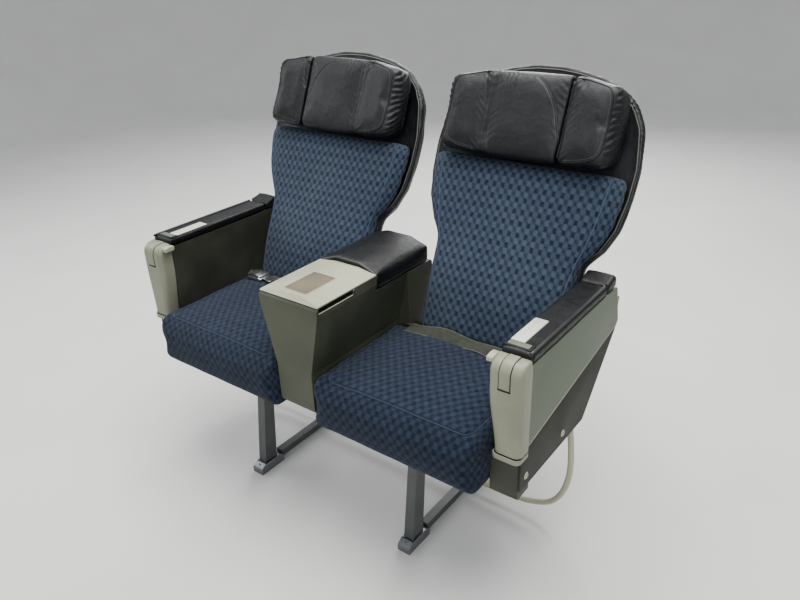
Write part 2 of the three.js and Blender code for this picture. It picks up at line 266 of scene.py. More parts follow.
def bevelled(form, width, segments=3, angle=32):
    """The closed form with its faces turned outwards and its sharp edges eased."""
    mesh = bmesh.new()
    mesh.from_mesh(mesh_of(form))
    bmesh.ops.recalc_face_normals(mesh, faces=mesh.faces)
    if width:
        limit = math.radians(angle)
        sharp = [edge for edge in mesh.edges if len(edge.link_faces) == 2 and edge.calc_face_angle() > limit]
        bmesh.ops.bevel(mesh, geom=sharp, offset=width * MM, segments=segments, profile=0.5, affect="EDGES",
                        clamp_overlap=True)
    mesh.verts.index_update()
    points = [vertex.co[:] for vertex in mesh.verts]
    faces = [[vertex.index for vertex in face.verts] for face in mesh.faces]
    mesh.free()
    return Form(np.array(points) / MM, faces)


def outwards(form):
    return bevelled(form, 0)


def slab(corners, axis, low, high, bevel, segments=3):
    loop = rounded(corners)
    return bevelled(loft([ring(loop, axis, low), ring(loop, axis, high)]), bevel, segments)


def block(xs, ys, zs, bevel):
    return slab(rect((xs[0], ys[0]), (xs[1], ys[1])), "z", *zs, bevel, 2)


def resample(path, spacing, closed=False):
    path = np.asarray(path, float)
    if closed:
        path = np.vstack([path, path[:1]])
    along = lengths_along(path)
    count = max(2, int(round(along[-1] / spacing)) + 1)
    at = np.linspace(0, along[-1], count)
    result = np.stack([np.interp(at, along, path[:, k]) for k in range(path.shape[1])], 1)
    return result[:-1] if closed else result


def lengths_along(path):
    return np.concatenate([[0], np.cumsum(np.linalg.norm(np.diff(path, axis=0), axis=1))])


def smooth_path(points, spacing=4.0):
    """A Catmull-Rom curve through points, evenly sampled."""
    points = np.asarray(points, float)
    padded = np.vstack([2 * points[0] - points[1], points, 2 * points[-1] - points[-2]])
    dense = []
    for i in range(1, len(padded) - 2):
        p0, p1, p2, p3 = padded[i - 1:i + 3]
        for t in np.linspace(0, 1, 12, endpoint=False):
            dense.append(0.5 * (2 * p1 + (p2 - p0) * t + (2 * p0 - 5 * p1 + 4 * p2 - p3) * t ** 2
                                + (3 * p1 - p0 - 3 * p2 + p3) * t ** 3))
    dense.append(points[-1])
    return resample(dense, spacing)


def tube(path, radius, sides=8, closed=False):
    path = np.asarray(path, float)
    if closed:
        tangents = np.roll(path, -1, 0) - np.roll(path, 1, 0)
    else:
        tangents = np.gradient(path, axis=0)
    normal = np.array([0.13, 0.21, 0.97])
    rings = []
    for point, tangent in zip(path, tangents):
        tangent = unit(tangent)
        normal = unit(normal - tangent * (normal @ tangent))
        rings.append(point + radius * circle(sides) @ [np.cross(tangent, normal), normal])
    if not closed:
        return loft(rings)
    form = loft(rings + [rings[0]], capped=False)
    last = len(rings) * sides
    faces = [tuple(i - last if i >= last else i for i in face) for face in form.faces]
    return Form(form.points[:last], faces)


def turned(profile, axis, centre, sides=24):
    """A surface of revolution: profile is a list of (radius, position along the axis)."""
    rings = [ring(circle(sides) * max(radius, 0.01), axis, at) for radius, at in profile]
    return outwards(loft(rings).shifted(np.array(centre, float)))


# Surfaces: seams, piping and stitches are laid on them


class Surface:
    def __init__(self, form):
        self.tree = BVHTree.FromPolygons(form.points.tolist(), form.faces)

    def seen(self, point, direction):
        direction = Vector(direction)
        return self.tree.ray_cast(Vector(point) - direction * RAY_START, direction)[0]

    def nearest(self, point):
        hit, normal, _, _ = self.tree.find_nearest(Vector(point))
        return np.array(hit), np.array(normal)

    def laid(self, path, direction):
        """The path dropped on the surface along a direction."""
        hits = [self.seen(point, direction) for point in path]
        return np.array([hit for hit in hits if hit is not None])

    def sewn(self, paths, direction, spacing=3):
        return [self.laid(resample(path, spacing), direction) for path in paths]

    def aside(self, line, distance, lift=0.0):
        """The line moved sideways on the surface and smoothed."""
        tangents = np.gradient(line, axis=0)
        moved = []
        for point, tangent in zip(line, tangents):
            spot, normal = self.nearest(point)
            spot, normal = self.nearest(spot + np.cross(unit(tangent), normal) * distance)
            moved.append(spot + normal * lift)
        moved = np.array(moved)
        for _ in range(4):
            moved[1:-1] = (moved[:-2] + 2 * moved[1:-1] + moved[2:]) / 4
        return moved


def tree_of(points):
    tree = kdtree.KDTree(len(points))
    for i, point in enumerate(points):
        tree.insert(point, i)
    tree.balance()
    return tree


def distance_to(lines, points):
    """How far each point is from the nearest of some lines."""
    tree = tree_of(np.vstack([resample(line, 1.5) for line in lines]))
    return np.array([tree.find(point)[2] for point in points])


def stitches(surface, line, size="plain"):
    """One row of thread, each stitch a small spindle lying on the surface."""
    pitch, length, radius = STITCH[size]
    path = resample(line, pitch)
    spindle = [(-0.5, 0.0), (-0.33, 0.9), (0.33, 0.9), (0.5, 0.0)]
    rows = []
    for before, after in zip(path[:-1], path[1:]):
        spot, normal = surface.nearest((before + after) / 2)
        along = unit(after - before)
        section = circle(4) @ [np.cross(along, normal), normal]
        rows.append(loft([spot + normal * 0.25 + along * at * length + section * max(share * radius, 0.02)
                          for at, share in spindle]))
    return merged(*rows)


def double_rows(form, lines, apart, size):
    surface = Surface(form)
    rows = [surface.aside(line, sign * apart) for line in lines for sign in SIGNS]
    return merged(*[stitches(surface, row, size) for row in rows])


def press_seams(form, paths, direction, radius, depth):
    """Seams pressed into a form, with the lines they follow."""
    lines = Surface(form).sewn(paths, direction)
    press = depth * np.clip(1 - (distance_to(lines, form.points) / radius) ** 2, 0, 1) ** 1.5
    form = form.shifted(-form.normals() * press[:, None])
    surface = Surface(form)
    return form, [surface.aside(line, 0.0) for line in lines]


# Cloth


def simulated(start, pressure, held):
    obj = scratch_object(start)
    settings = obj.modifiers.new("cloth", "CLOTH").settings
    settings.quality = 5
    settings.use_pressure = True
    settings.uniform_pressure_force = pressure
    settings.effector_weights.gravity = 0
    group = obj.vertex_groups.new(name="held")
    group.add(np.nonzero(held(start.points))[0].tolist(), 1.0, "REPLACE")
    settings.vertex_group_mass = "held"
    for step in range(1, CLOTH_FRAMES + 1):
        bpy.context.scene.frame_set(step)
    points = evaluated(obj).points
    bpy.context.scene.frame_set(1)
    bpy.data.objects.remove(obj)
    return points


def inflated(form, voxel, cap, pressure, held, levels=1):
    """A closed form swollen as cloth under pressure, no point moving further than cap."""
    start = through(form, voxels(voxel), smoothing(3))
    points = start.points
    moved = simulated(start, pressure, held) - points
    reach = np.linalg.norm(moved, axis=1, keepdims=True)
    points = points + moved * np.minimum(1, cap / np.maximum(reach, 1e-9))
    return through(Form(points, start.faces), smoothing(2), subdivided(levels))


def wrinkled(form, amount, where, across, pitch, least=0.08):
    """Folds in drifting patches: where masks the form, and across is the way over them at a point."""
    points = form.points
    mask = where(form)
    folds = np.zeros(len(points))
    for i in np.nonzero(mask > 0.01)[0]:
        drift = noise.noise(Vector(points[i] * 0.018)) * 4.2
        patch = 0.5 + 1.3 * noise.noise(Vector(points[i] * 0.024 + 13))
        folds[i] = math.sin(across(*points[i]) * 2 * math.pi / pitch + drift) * min(1, max(least, patch))
    return form.shifted(form.normals() * (folds * mask * amount)[:, None])


def patchy(form, scale, offset, base, spread):
    return np.array([base + spread * noise.noise(Vector(point * scale + offset)) for point in form.points])


def dented(form, amount, size):
    """Slow unevenness, as in foam under a cover."""
    depth = np.array([noise.noise(Vector(point / size)) for point in form.points])
    return form.shifted(form.normals() * depth[:, None] * amount)


def rise(value, low, high):
    """0 up to low, 1 from high on, and smooth between them."""
    t = np.clip((np.asarray(value, float) - low) / (high - low), 0, 1)
    return t * t * (3 - 2 * t)


def fall(value, low, high):
    return 1 - rise(value, low, high)


def drawn_in(at, low, high, radius):
    """How far a surface is drawn in at a place between two rounded ends."""
    over = max(low + radius - at, at - high + radius, 0)
    return radius - math.sqrt(max(radius ** 2 - over ** 2, 0))


def levels_between(low, high, radius, count):
    """Places from low to high, closer together where the ends are rounded."""
    end = radius * (1 - np.cos(np.linspace(0, math.pi / 2, 6)))
    middle = np.linspace(low + radius, high - radius, count)[1:-1]
    return np.concatenate([low + end, middle, (high - end)[::-1]])


# Materials


def rgb(r, g, b):
    """An 8-bit colour as the linear one that a shader takes."""
    parts = [c / 255 for c in (r, g, b)]
    return (*[c / 12.92 if c <= 0.04045 else ((c + 0.055) / 1.055) ** 2.4 for c in parts], 1.0)


class Look:
    """A material and short ways to write its nodes. Its colours are 8-bit."""

    def __init__(self, name, attribute=None):
        self.material = bpy.data.materials.new(name)
        self.material.use_nodes = True
        self.tree = self.material.node_tree
        self.shader = self.tree.nodes["Principled BSDF"]
        if attribute:
            self.place = self.add("Attribute", attribute_name=attribute).outputs["Vector"]
        else:
            self.place = self.add("TexCoord").outputs["Object"]

    def add(self, kind, inputs=None, **settings):
        node = self.tree.nodes.new("ShaderNode" + kind)
        for key, value in settings.items():
            setattr(node, key, value)
        self.feed(node, inputs or {})
        return node

    def feed(self, node, inputs):
        for key, value in inputs.items():
            if isinstance(value, bpy.types.NodeSocket):
                self.tree.links.new(value, node.inputs[key])
            else:
                node.inputs[key].default_value = value

    def surface(self, **inputs):
        self.feed(self.shader, {key.replace("_", " ").title(): value for key, value in inputs.items()})

    def specular(self, level):
        self.feed(self.shader, {"Specular IOR Level": level})

    def math(self, operation, *values):
        return self.add("Math", dict(enumerate(values)), operation=operation).outputs[0]

    def plus(self, a, b):
        return self.math("ADD", a, b)

    def times(self, a, b, then_add=0.0):
        return self.math("MULTIPLY_ADD", a, b, then_add)

    def off_middle(self, value):
        """How far a value is from the middle of its unit step, 0 to 0.5."""
        return self.math("ABSOLUTE", self.math("SUBTRACT", self.math("FRACT", value), 0.5))

    def wave(self, value, length):
        return self.math("SINE", self.times(value, 2 * math.pi / length))

    def mix(self, factor, a, b):
        a, b = (rgb(*value) if isinstance(value, tuple) else value for value in (a, b))
        return self.add("Mix", {0: factor, 6: a, 7: b}, data_type="RGBA").outputs[2]

    def fade(self, value, low, high, start=0.0, end=1.0):
        spans = {"Value": value, "From Min": low, "From Max": high, "To Min": start, "To Max": end}
        return self.add("MapRange", spans, interpolation_type="SMOOTHSTEP").outputs[0]

    def cloud(self, scale, detail=3.0, place=None):
        inputs = {"Vector": place or self.place, "Scale": scale, "Detail": detail}
        return self.add("TexNoise", inputs).outputs[0]

    def cells(self, scale):
        inputs = {"Vector": self.place, "Scale": scale}
        return self.add("TexVoronoi", inputs, feature="DISTANCE_TO_EDGE").outputs["Distance"]

    def stretched(self, scales):
        return self.add("Mapping", {"Vector": self.place, "Scale": scales}).outputs[0]

    def axes(self):
        return self.add("SeparateXYZ", {0: self.place}).outputs

    def bump(self, height, distance, strength):
        inputs = {"Height": height, "Distance": distance, "Strength": strength}
        self.feed(self.shader, {"Normal": self.add("Bump", inputs).outputs[0]})


MOTIF = (0.0225, 0.0280)


def motif(look, u, v, shifts, low, high):
    """One square of the weave's repeat, shifted from its corner, fading out from its middle."""
    sides = [look.off_middle(look.times(value, 1 / pitch, shift))
             for value, pitch, shift in zip((u, v), MOTIF, shifts)]
    return look.fade(look.math("MAXIMUM", *sides), low, high)


def fabric_look(name, ground, shade, glow, mark, strength):
    """Woven cloth: staggered dark marks with thin slanting tails, pale blocks between them, flecked."""
    look = Look(name, "weave")
    u, v, _ = look.axes()
    stray = look.cloud(300, 3)
    slub = look.cloud(90, 4)
    strokes = look.cloud(1.0, 2, look.stretched((1500, 190, 1)))
    u = look.plus(u, look.times(stray, 0.0088, -0.0044))
    v = look.plus(v, look.times(slub, 0.0068, -0.0034))
    worn = look.fade(look.cloud(150, 2), 0.3, 0.6, 0.6, 1.0)
    main = look.times(motif(look, u, v, (0, 0), 0.26, 0.15), worn)
    accent = motif(look, u, v, (0.5, 0.5), 0.17, 0.07)
    pale = motif(look, u, v, (0, 0.5), 0.33, 0.14)
    paler = motif(look, u, v, (0.5, 0), 0.33, 0.14)
    slope = look.times(v, 1 / MOTIF[1], look.times(u, 1 / MOTIF[0], 0.5))
    tail = look.fade(look.off_middle(slope), 0.13, 0.04)
    thread = look.fade(look.wave(look.plus(u, v), 0.0023), -0.4, 0.9)
    colour = look.mix(look.fade(look.cloud(5, 2), 0.35, 0.65), shade, ground)
    layers = [
        (look.fade(slub, 0.3, 0.7, 0.0, 0.35), shade),
        (look.times(look.times(paler, 0.6, pale), 0.55), glow),
        (look.times(tail, 0.3 * strength), mark),
        (look.times(accent, 0.55 * strength), mark),
        (look.times(main, strength), mark),
        (look.times(thread, 0.13), glow),
        (look.fade(strokes, 0.5, 0.75, 0.0, 0.5), glow),
        (look.fade(strokes, 0.46, 0.25, 0.0, 0.4), mark),
    ]
    for share, layer in layers:
        colour = look.mix(share, colour, layer)
    look.surface(base_color=colour, roughness=0.92, sheen_weight=0.12, sheen_roughness=0.45)
    look.specular(0.2)
    relief = look.times(look.math("MAXIMUM", main, accent), -0.7, thread)
    look.bump(look.plus(relief, look.plus(stray, strokes)), 0.0006, 0.9)
    return look.material


def leather_look(name, light=(26, 28, 33), dark=(14, 16, 20), gloss=0.3, attribute=None):
    look = Look(name, attribute)
    edges = look.cells(560)
    creases = look.cloud(110, 5)
    colour = look.mix(look.fade(look.cloud(17, 4), 0.35, 0.68), dark, light)
    colour = look.mix(look.fade(edges, 0.0, 0.1, 0.45, 0.0), colour, (9, 9, 11))
    look.surface(base_color=colour, roughness=look.fade(creases, 0.3, 0.72, gloss, gloss + 0.17))
    look.specular(0.55)
    grain = look.times(look.fade(edges, 0.0, 0.25), 0.4, creases)
    look.bump(look.times(look.cloud(34, 3), 3.2, grain), 0.0008, 0.55)
    return look.material


def plastic_look(name, light, dark, roughness, grain=700, relief=0.25):
    look = Look(name)
    tone = look.cloud(7, 4)
    soil = tuple(int(c * 0.72) for c in dark)
    colour = look.mix(look.fade(tone, 0.3, 0.7), dark, light)
    colour = look.mix(look.fade(look.cloud(1100, 2), 0.52, 0.8, 0.0, 0.5), colour, soil)
    look.surface(base_color=colour, roughness=look.fade(tone, 0.3, 0.7, roughness - 0.07, roughness + 0.08))
    look.bump(look.fade(look.cells(grain), 0.0, 0.3), 0.0003, relief)
    return look.material


def metal_look(name, light, dark, roughness, stretch=(8, 900, 900), metallic=1.0):
    look = Look(name)
    brushed = look.cloud(1.0, 3, look.stretched(stretch))
    colour = look.mix(look.fade(brushed, 0.3, 0.7), dark, light)
    shine = look.fade(look.cloud(14, 4), 0.3, 0.75, roughness, roughness + 0.16)
    look.surface(base_color=colour, metallic=metallic, roughness=shine)
    look.bump(brushed, 0.00015, 0.3)
    return look.material


def webbing_look():
    look = Look("webbing", "weave")
    u, v, _ = look.axes()
    edge = look.fade(look.math("ABSOLUTE", u), 0.0192, 0.0208)
    rib = look.wave(v, 0.0024)
    colour = look.mix(look.fade(look.cloud(60, 3), 0.3, 0.7), (50, 53, 45), (64, 68, 57))
    colour = look.mix(look.fade(rib, -0.2, 1.0, 0.0, 0.5), colour, (35, 38, 32))
    colour = look.mix(look.times(edge, 0.7), colour, (118, 122, 106))
    look.surface(base_color=colour, roughness=0.85, sheen_weight=0.15)
    look.bump(look.times(look.wave(u, 0.0019), 0.5, rib), 0.0003, 0.6)
    return look.material


def thread_look(name, light, dark, twist=0.0016):
    """Corded piping and thread: a twist runs round it."""
    look = Look(name)
    x, y, z = look.axes()
    cord = look.wave(look.plus(look.plus(x, y), z), twist)
    colour = look.mix(look.fade(cord, -0.6, 0.8), dark, light)
    look.surface(base_color=colour, roughness=0.7, sheen_weight=0.2)
    look.bump(cord, 0.0002, 0.4)
    return look.material


# The looks under the record's material slots that they belong to
LOOKS_BY_SLOT = {
    "blue_fabric": {
        "fabric": fabric_look("blue_fabric", (66, 79, 94), (53, 64, 85), (93, 106, 121), (22, 31, 46), 0.97),
        # The seat's copy of the fabric is darker than the back's: painted shade on the seat cushion.
        "seat": fabric_look("blue_fabric_seat_shaded", (33, 44, 62), (27, 35, 53), (60, 74, 94), (14, 19, 33), 0.95),
        "piping": thread_look("fabric_piping", (80, 98, 120), (58, 74, 96)),
        "edging": thread_look("seat_piping", (50, 63, 84), (30, 40, 58)),
    },
    "black_leather": {
        "leather": leather_look("black_leather"),
        "stretch": leather_look("black_leather_gusset", attribute="rest"),
        "pad": leather_look("pad_skin", (22, 23, 26), (12, 13, 15), 0.36),
        "welt": leather_look("leather_welt", (58, 60, 63), (38, 39, 43), 0.22),
        "bead": thread_look("bead", (120, 120, 114), (84, 84, 80), 0.004),
        "rubber": plastic_look("rubber_bead", (74, 75, 72), (56, 57, 55), 0.34, 900, 0.1),
        "thread": thread_look("leather_thread", (128, 128, 122), (92, 92, 88)),
    },
    "cream_plastic": {
        "cream": plastic_look("cream_plastic", (176, 177, 158), (160, 161, 143), 0.4),
        # The cap's copy of the cream plastic is darker: painted shade for the cap's face, which lies in less
        # light.
        "cap": plastic_look("cap_plastic_shaded", (148, 150, 132), (130, 132, 115), 0.42),
        "satin": metal_look("satin_plate", (214, 214, 204), (196, 196, 186), 0.36, (500, 14, 500), 0.25),
    },
    "cream_paint": {"paint": plastic_look("cream_paint", (184, 182, 162), (166, 164, 145), 0.36, 900, 0.15)},
    "grey_green_plastic": {"green": plastic_look("grey_green_plastic", (109, 117, 102), (94, 102, 88), 0.5)},
    "olive_plastic": {
        "olive": plastic_look("olive_plastic", (88, 91, 77), (70, 73, 61), 0.52, 450, 0.5),
        # The lower panel's copy of the olive plastic is darkened: painted shade, not a brown plastic.
        "olive_shaded": plastic_look("lower_plastic_shaded", (40, 39, 32), (28, 28, 23), 0.56, 450, 0.5),
        "box": plastic_look("arm_plastic", (70, 71, 61), (54, 55, 47), 0.5, 450, 0.5),
        # Near-black plastic: painted shade in the cap's gap and groove and in the bracket's fold; also used
        # for the latch surround, cap joints and slot ribs.
        "dark": plastic_look("gap_shade_and_dark_plastic", (22, 23, 22), (14, 15, 15), 0.5),
    },
    "taupe_mat": {"mat": plastic_look("taupe_mat", (122, 114, 100), (102, 95, 82), 0.85, 380, 0.7)},
    "aluminium_tube": {"tube": metal_look("aluminium_tube", (176, 178, 180), (142, 144, 147), 0.28)},
    "leg_paint": {"leg": plastic_look("leg_paint", (92, 94, 94), (72, 74, 75), 0.4, 900, 0.2)},
    "track_metal": {
        "track": metal_look("track_metal", (158, 160, 162), (118, 120, 123), 0.34, (900, 8, 900)),
    },
    "webbing": {"webbing": webbing_look()},
    "buckle_chrome": {
        "chrome": metal_look("buckle_chrome", (232, 232, 230), (208, 209, 208), 0.2, (60, 700, 700)),
    },
}
LOOKS = {look: (material, slot) for slot, looks in LOOKS_BY_SLOT.items() for look, material in looks.items()}


# Pieces


def add(name, form, look, body, place=IDENTITY, replaces=(), weave=None, smooth=60, fill=None):
    """A piece at its place in the frame, with its look and its body. The fill argument is not used."""
    obj = bpy.data.objects.new(name, mesh_of(form.placed(place), name))
    bpy.context.scene.collection.objects.link(obj)
    material, slot = LOOKS[look]
    obj.data.materials.append(material)
    obj.data.shade_smooth()
    obj.data.set_sharp_from_angle(angle=math.radians(smooth))
    if weave is not None:
        store(obj, "weave", weave * MM)
    if body:
        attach(obj, body)
    if replaces:
        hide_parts(*replaces)
    return obj


class Fitting:
    """A side's place and body. The pieces and the nodes that they replace are named after the side."""

    def __init__(self, side, place, body="base"):
        self.side, self.place, self.body = side, place, body

    def on(self, body, place=None):
        return Fitting(self.side, place or self.place, f"{self.side}_{body}")

    def add(self, name, form, look, node=None, **more):
        replaces = [f"{self.side}_{node}"] if node else ()
        return add(f"{self.side}_{name}", form, look, self.body, self.place, replaces, **more)

    def dress(self, node, look, bevel):
        dress(f"{self.side}_{node}", look, bevel)


def store(obj, name, vectors):
    attribute = obj.data.attributes.new(name, "FLOAT_VECTOR", "POINT")
    attribute.data.foreach_set("vector", vectors.astype(np.float32).ravel())


def dress(node, look, bevel):
    """A node of the part keeps its shape and gets a look, with its edges eased."""
    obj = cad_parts[node]
    material, slot = LOOKS[look]
    obj.data.materials.clear()
    obj.data.materials.append(material)
    obj.modifiers.new("weld", "WELD").merge_threshold = 0.00002
    edges = obj.modifiers.new("edges", "BEVEL")
    edges.width = bevel * MM
    edges.segments = 2
    edges.limit_method = "ANGLE"
    edges.angle_limit = math.radians(35)
    edges.use_clamp_overlap = True


def flip(sign):
    return Matrix.Diagonal((sign, 1, 1, 1))


def back_frame(side):
    local = Matrix.Translation((SEAT_X, PIVOT_Y, PIVOT_Z)) @ Matrix.Rotation(-LEAN, 4, "X")
    return flip(SIDES[side]) @ local


# Seat cushion


def seat_cushion_form():
    c = CUSHION
    low, high, roll = c["bottom"] + 4, c["top"] - 7, -240
    side = rounded([
        (c["rear"] - 43, c["pan"] + 2, 12), (c["rear"] - 4, high, 16), (c["front"] + 5, high, 36),
        (c["front"] + 5, low, 20), (roll, low, 12), (roll, c["pan"] + 2),
    ], 8)
    ends = [(3, 11), (4.5, 5.5), (9, 1.5), (17, 0)]
    form = outwards(loft(soft_prism(side, "x", c["inner"], c["outer"], ends)))
    # The seam frames the top panel: up one side, across the front and back
    left, right, front, rear = c["inner"] + 32, c["outer"] - 28, -322, -12
    corners = [(left, rear), (left, front, 22), (right, front, 22), (right, rear)]
    seams = [ring(rounded(corners, 8), "z", c["top"])]
    sewn = Surface(form).sewn(seams, DOWN)

    def held(points):
        under = (points[:, 2] < c["pan"] + 12) & (points[:, 1] > roll + 4)
        return under | (points[:, 2] < c["bottom"] + 10) | (distance_to(sewn, points) < 4.5)

    form = inflated(form, 7.7, 7, 4.0, held)
    x, _, z = form.points.T
    form = form.moved("z", 3.5 * np.cos((x - 284) / 225 * 1.45) * rise(z, 440, 485))
    form = dented(form, 1.5, 75)
    form, lines = press_seams(form, seams, DOWN, 7.5, 3.2)
    return form, seat_weave(form, side), lines[0]


def seat_weave(form, profile):
    """Along the cushion's side profile and across it, carried on over the side faces."""
    step = 0.5
    tree = tree_of([(y, z, 0) for y, z in resample(profile, step, closed=True)])
    nearest = [tree.find((y, z, 0)) for _, y, z in form.points]
    along = np.array([index for _, index, _ in nearest]) * step
    deep = np.array([distance for _, _, distance in nearest]) * rise(np.abs(form.normals()[:, 0]), 0.25, 0.8)
    x = form.points[:, 0]
    across = x + np.sign(x - (CUSHION["inner"] + CUSHION["outer"]) / 2) * deep
    return np.stack([across, along, np.zeros(len(along))], 1)


def add_seats():
    cushion, weave, seam = seat_cushion_form()
    surface = Surface(cushion)
    cord = tube(surface.aside(seam, 0, 0.6), 1.5)
    for side, sign in SIDES.items():
        fit = Fitting(side, flip(sign))
        # The seat look is the blue fabric darkened with painted shade.
        fit.add("seat_pad", cushion, "seat", "seat_cushion", weave=weave, fill=0.75)
        fit.add("seat_piping", cord, "edging")
        add_belt(fit, surface)
        add_arm(fit)


# Lap belt


def strap_form(path, width, sides):
    """A flat strap along a path, its width along one direction or along one for each point."""
    sides = np.broadcast_to(np.asarray(sides, float), path.shape)
    spread = [(-0.5 + 0.125 * i, 0.5) for i in range(1, 8)]
    shape = [(-0.5, -0.2)] + [(a, -b) for a, b in spread] + [(0.5, -0.2), (0.5, 0.2)]
    shape += [(a, b) for a, b in reversed(spread)] + [(-0.5, 0.2)]
    rings, weave = [], []
    for point, tangent, at, side in zip(path, np.gradient(path, axis=0), lengths_along(path), sides):
        across = unit(side)
        normal = unit(np.cross(across, unit(tangent)))
        rings.append([point + across * a * width + normal * b * STRAP_THICK for a, b in shape])
        weave += [(a * width, at, 0) for a, _ in shape]
    return loft(rings), np.array(weave)


def height_at(surface, x, y):
    """The seat's height, asked for a little beside a place so that no ray runs along an edge."""
    hit = surface.seen((x + 0.13, y + 0.07, CUSHION["top"]), DOWN)
    return hit.z if hit else CUSHION["top"] - 6


def add_belt(fit, surface):
    """The strap comes out of the crease by the console, lies slack across it and ends in the tongue."""
    lying = []
    for x in np.linspace(116, 404, 13):
        y = -21 - 5 * math.cos((x - 116) / 288 * 2.2 * math.pi)
        top = max(height_at(surface, x, y + step) for step in (-18, -6, 6))
        lying.append((x, y, top + 1.8 + 3.0 * math.sin(x * 0.023) ** 2))
    path = smooth_path(lying, 5)
    tilt = [(0, 1, 0.18 + 0.16 * math.sin(x * 0.035)) for x, _, _ in path]
    strap, weave = strap_form(path, 43, tilt)
    lift = lying[0][2]
    climb = [(131, 3, lift - 34), (129, 0, lift - 16), (126, -8, lift - 2), (122, -18, lift + 2.4)]
    riser, riser_weave = strap_form(smooth_path(climb), 42, (1, 0, 0))
    weave = np.vstack([weave, riser_weave])
    fit.add("belt_strap", merged(strap, riser), "webbing", "belt_long_strap", weave=weave)
    lift = max(height_at(surface, x, y) for x in (425, 450, 470) for y in (-40, -22, -6)) + 4
    short = [(494, 0, lift - 30), (494, -5, lift - 12), (491, -16, lift + 4), (474, -22, lift + 7)]
    tail, weave = strap_form(smooth_path(short), 26, (0.45, 0.9, 0))
    fit.add("belt_tail", tail, "webbing", "belt_short_strap", weave=weave)
    tongue = [(382, -39, 6), (392, -41, 4), (417, -33, 3), (417, -9, 3), (392, -1, 4), (382, -3, 6)]
    fit.add("belt_tongue_plate", slab(tongue, "z", lift + 3, lift + 5.4, 0.6), "chrome", "belt_tongue")
    add_buckle(fit, lift - 3.4)


def add_buckle(fit, base):
    body = slab([(417, -45, 7), (476, -45, 9), (476, 1, 9), (417, 1, 7)], "z", base, base + 9, 2.2)
    flap = slab([(419, base + 9.6, 1), (421, base + 15, 3), (440, base + 18.6, 8), (470, base + 15.5, 5),
                 (477, base + 10.5, 1), (476, base + 9.6)], "y", -42, -2, 1.6)
    lip = [(474, -38, 3), (480.5, -36, 3), (480.5, -8, 3), (474, -6, 3)]
    lip = slab(lip, "z", base + 9.4, base + 12, 0.8)
    pin = turned([(0, -44.8), (2.6, -44.8), (3.2, -44.2), (3.2, 0.2), (2.6, 0.8), (0, 0.8)], "y",
                 (426, 0, base + 8.5), 16)
    fit.add("buckle_body", merged(body, pin), "chrome", "belt_buckle")
    fit.add("buckle_flap", merged(flap, lip), "chrome")


# Back cushion


def back_widths(z):
    """Half widths of the back cushion's front panel and of the whole cushion at a height."""
    table = smooth_path(BACK_WIDTHS)
    return np.interp(z, table[:, 0], table[:, 1]), np.interp(z, table[:, 0], table[:, 2])


def back_section(z):
    panel, outer = back_widths(z)
    ease = drawn_in(z, BACK_LOW, BACK_HIGH, 14)
    corner = drawn_in(z, BACK_LOW, BACK_HIGH, 24)
    side = outer - 3 - corner
    front = min(BACK_FRONT + 5 + ease, BACK_REAR - 12)
    half = [(side - 1, BACK_REAR - 1, 2), (side, -50 + ease / 3, 5), (panel - corner * 0.8, front, 6)]
    return ring(rounded(both_halves(half), 5), "z", z)


@cache
def back_cushion_forms():
    """The cushion, its piping and the weave's coordinates."""
    form = outwards(loft([back_section(z) for z in levels_between(BACK_LOW, BACK_HIGH, 24, 24)]))
    heights = np.linspace(2, 462, 60)
    paths = [np.array([(sign * back_widths(z)[0], BACK_FRONT, z) for z in heights]) for sign in SIGNS]
    sewn = Surface(form).sewn(paths, TO_REAR)

    def held(points):
        return (points[:, 1] > -43) | (distance_to(sewn, points) < 4.5)

    form = inflated(form, 7.5, 7, 3.5, held)
    _, y, z = form.points.T
    lumbar = 6 * np.exp(-((z - 130) / 75) ** 2) - 3 * np.exp(-((z - 310) / 80) ** 2)
    form = dented(form.moved("y", -lumbar * rise(-y, 44, 60)), 1.5, 80)
    form, lines = press_seams(form, paths, TO_REAR, 6, 2.0)
    surface = Surface(form)
    return form, merged(*[tube(surface.aside(line, 0, 0.5), 1.4) for line in lines]), back_weave(form)


def back_weave(form):
    """Across and up the front, carried on over the side faces."""
    normals = form.normals()
    x, y, z = form.points.T
    depth = y - BACK_FRONT
    u = x + np.sign(x) * np.abs(normals[:, 0]) * depth
    v = z + np.sign(normals[:, 2]) * np.abs(normals[:, 2]) * depth
    return np.stack([u, v, np.zeros(len(u))], 1)


# Shell of the back


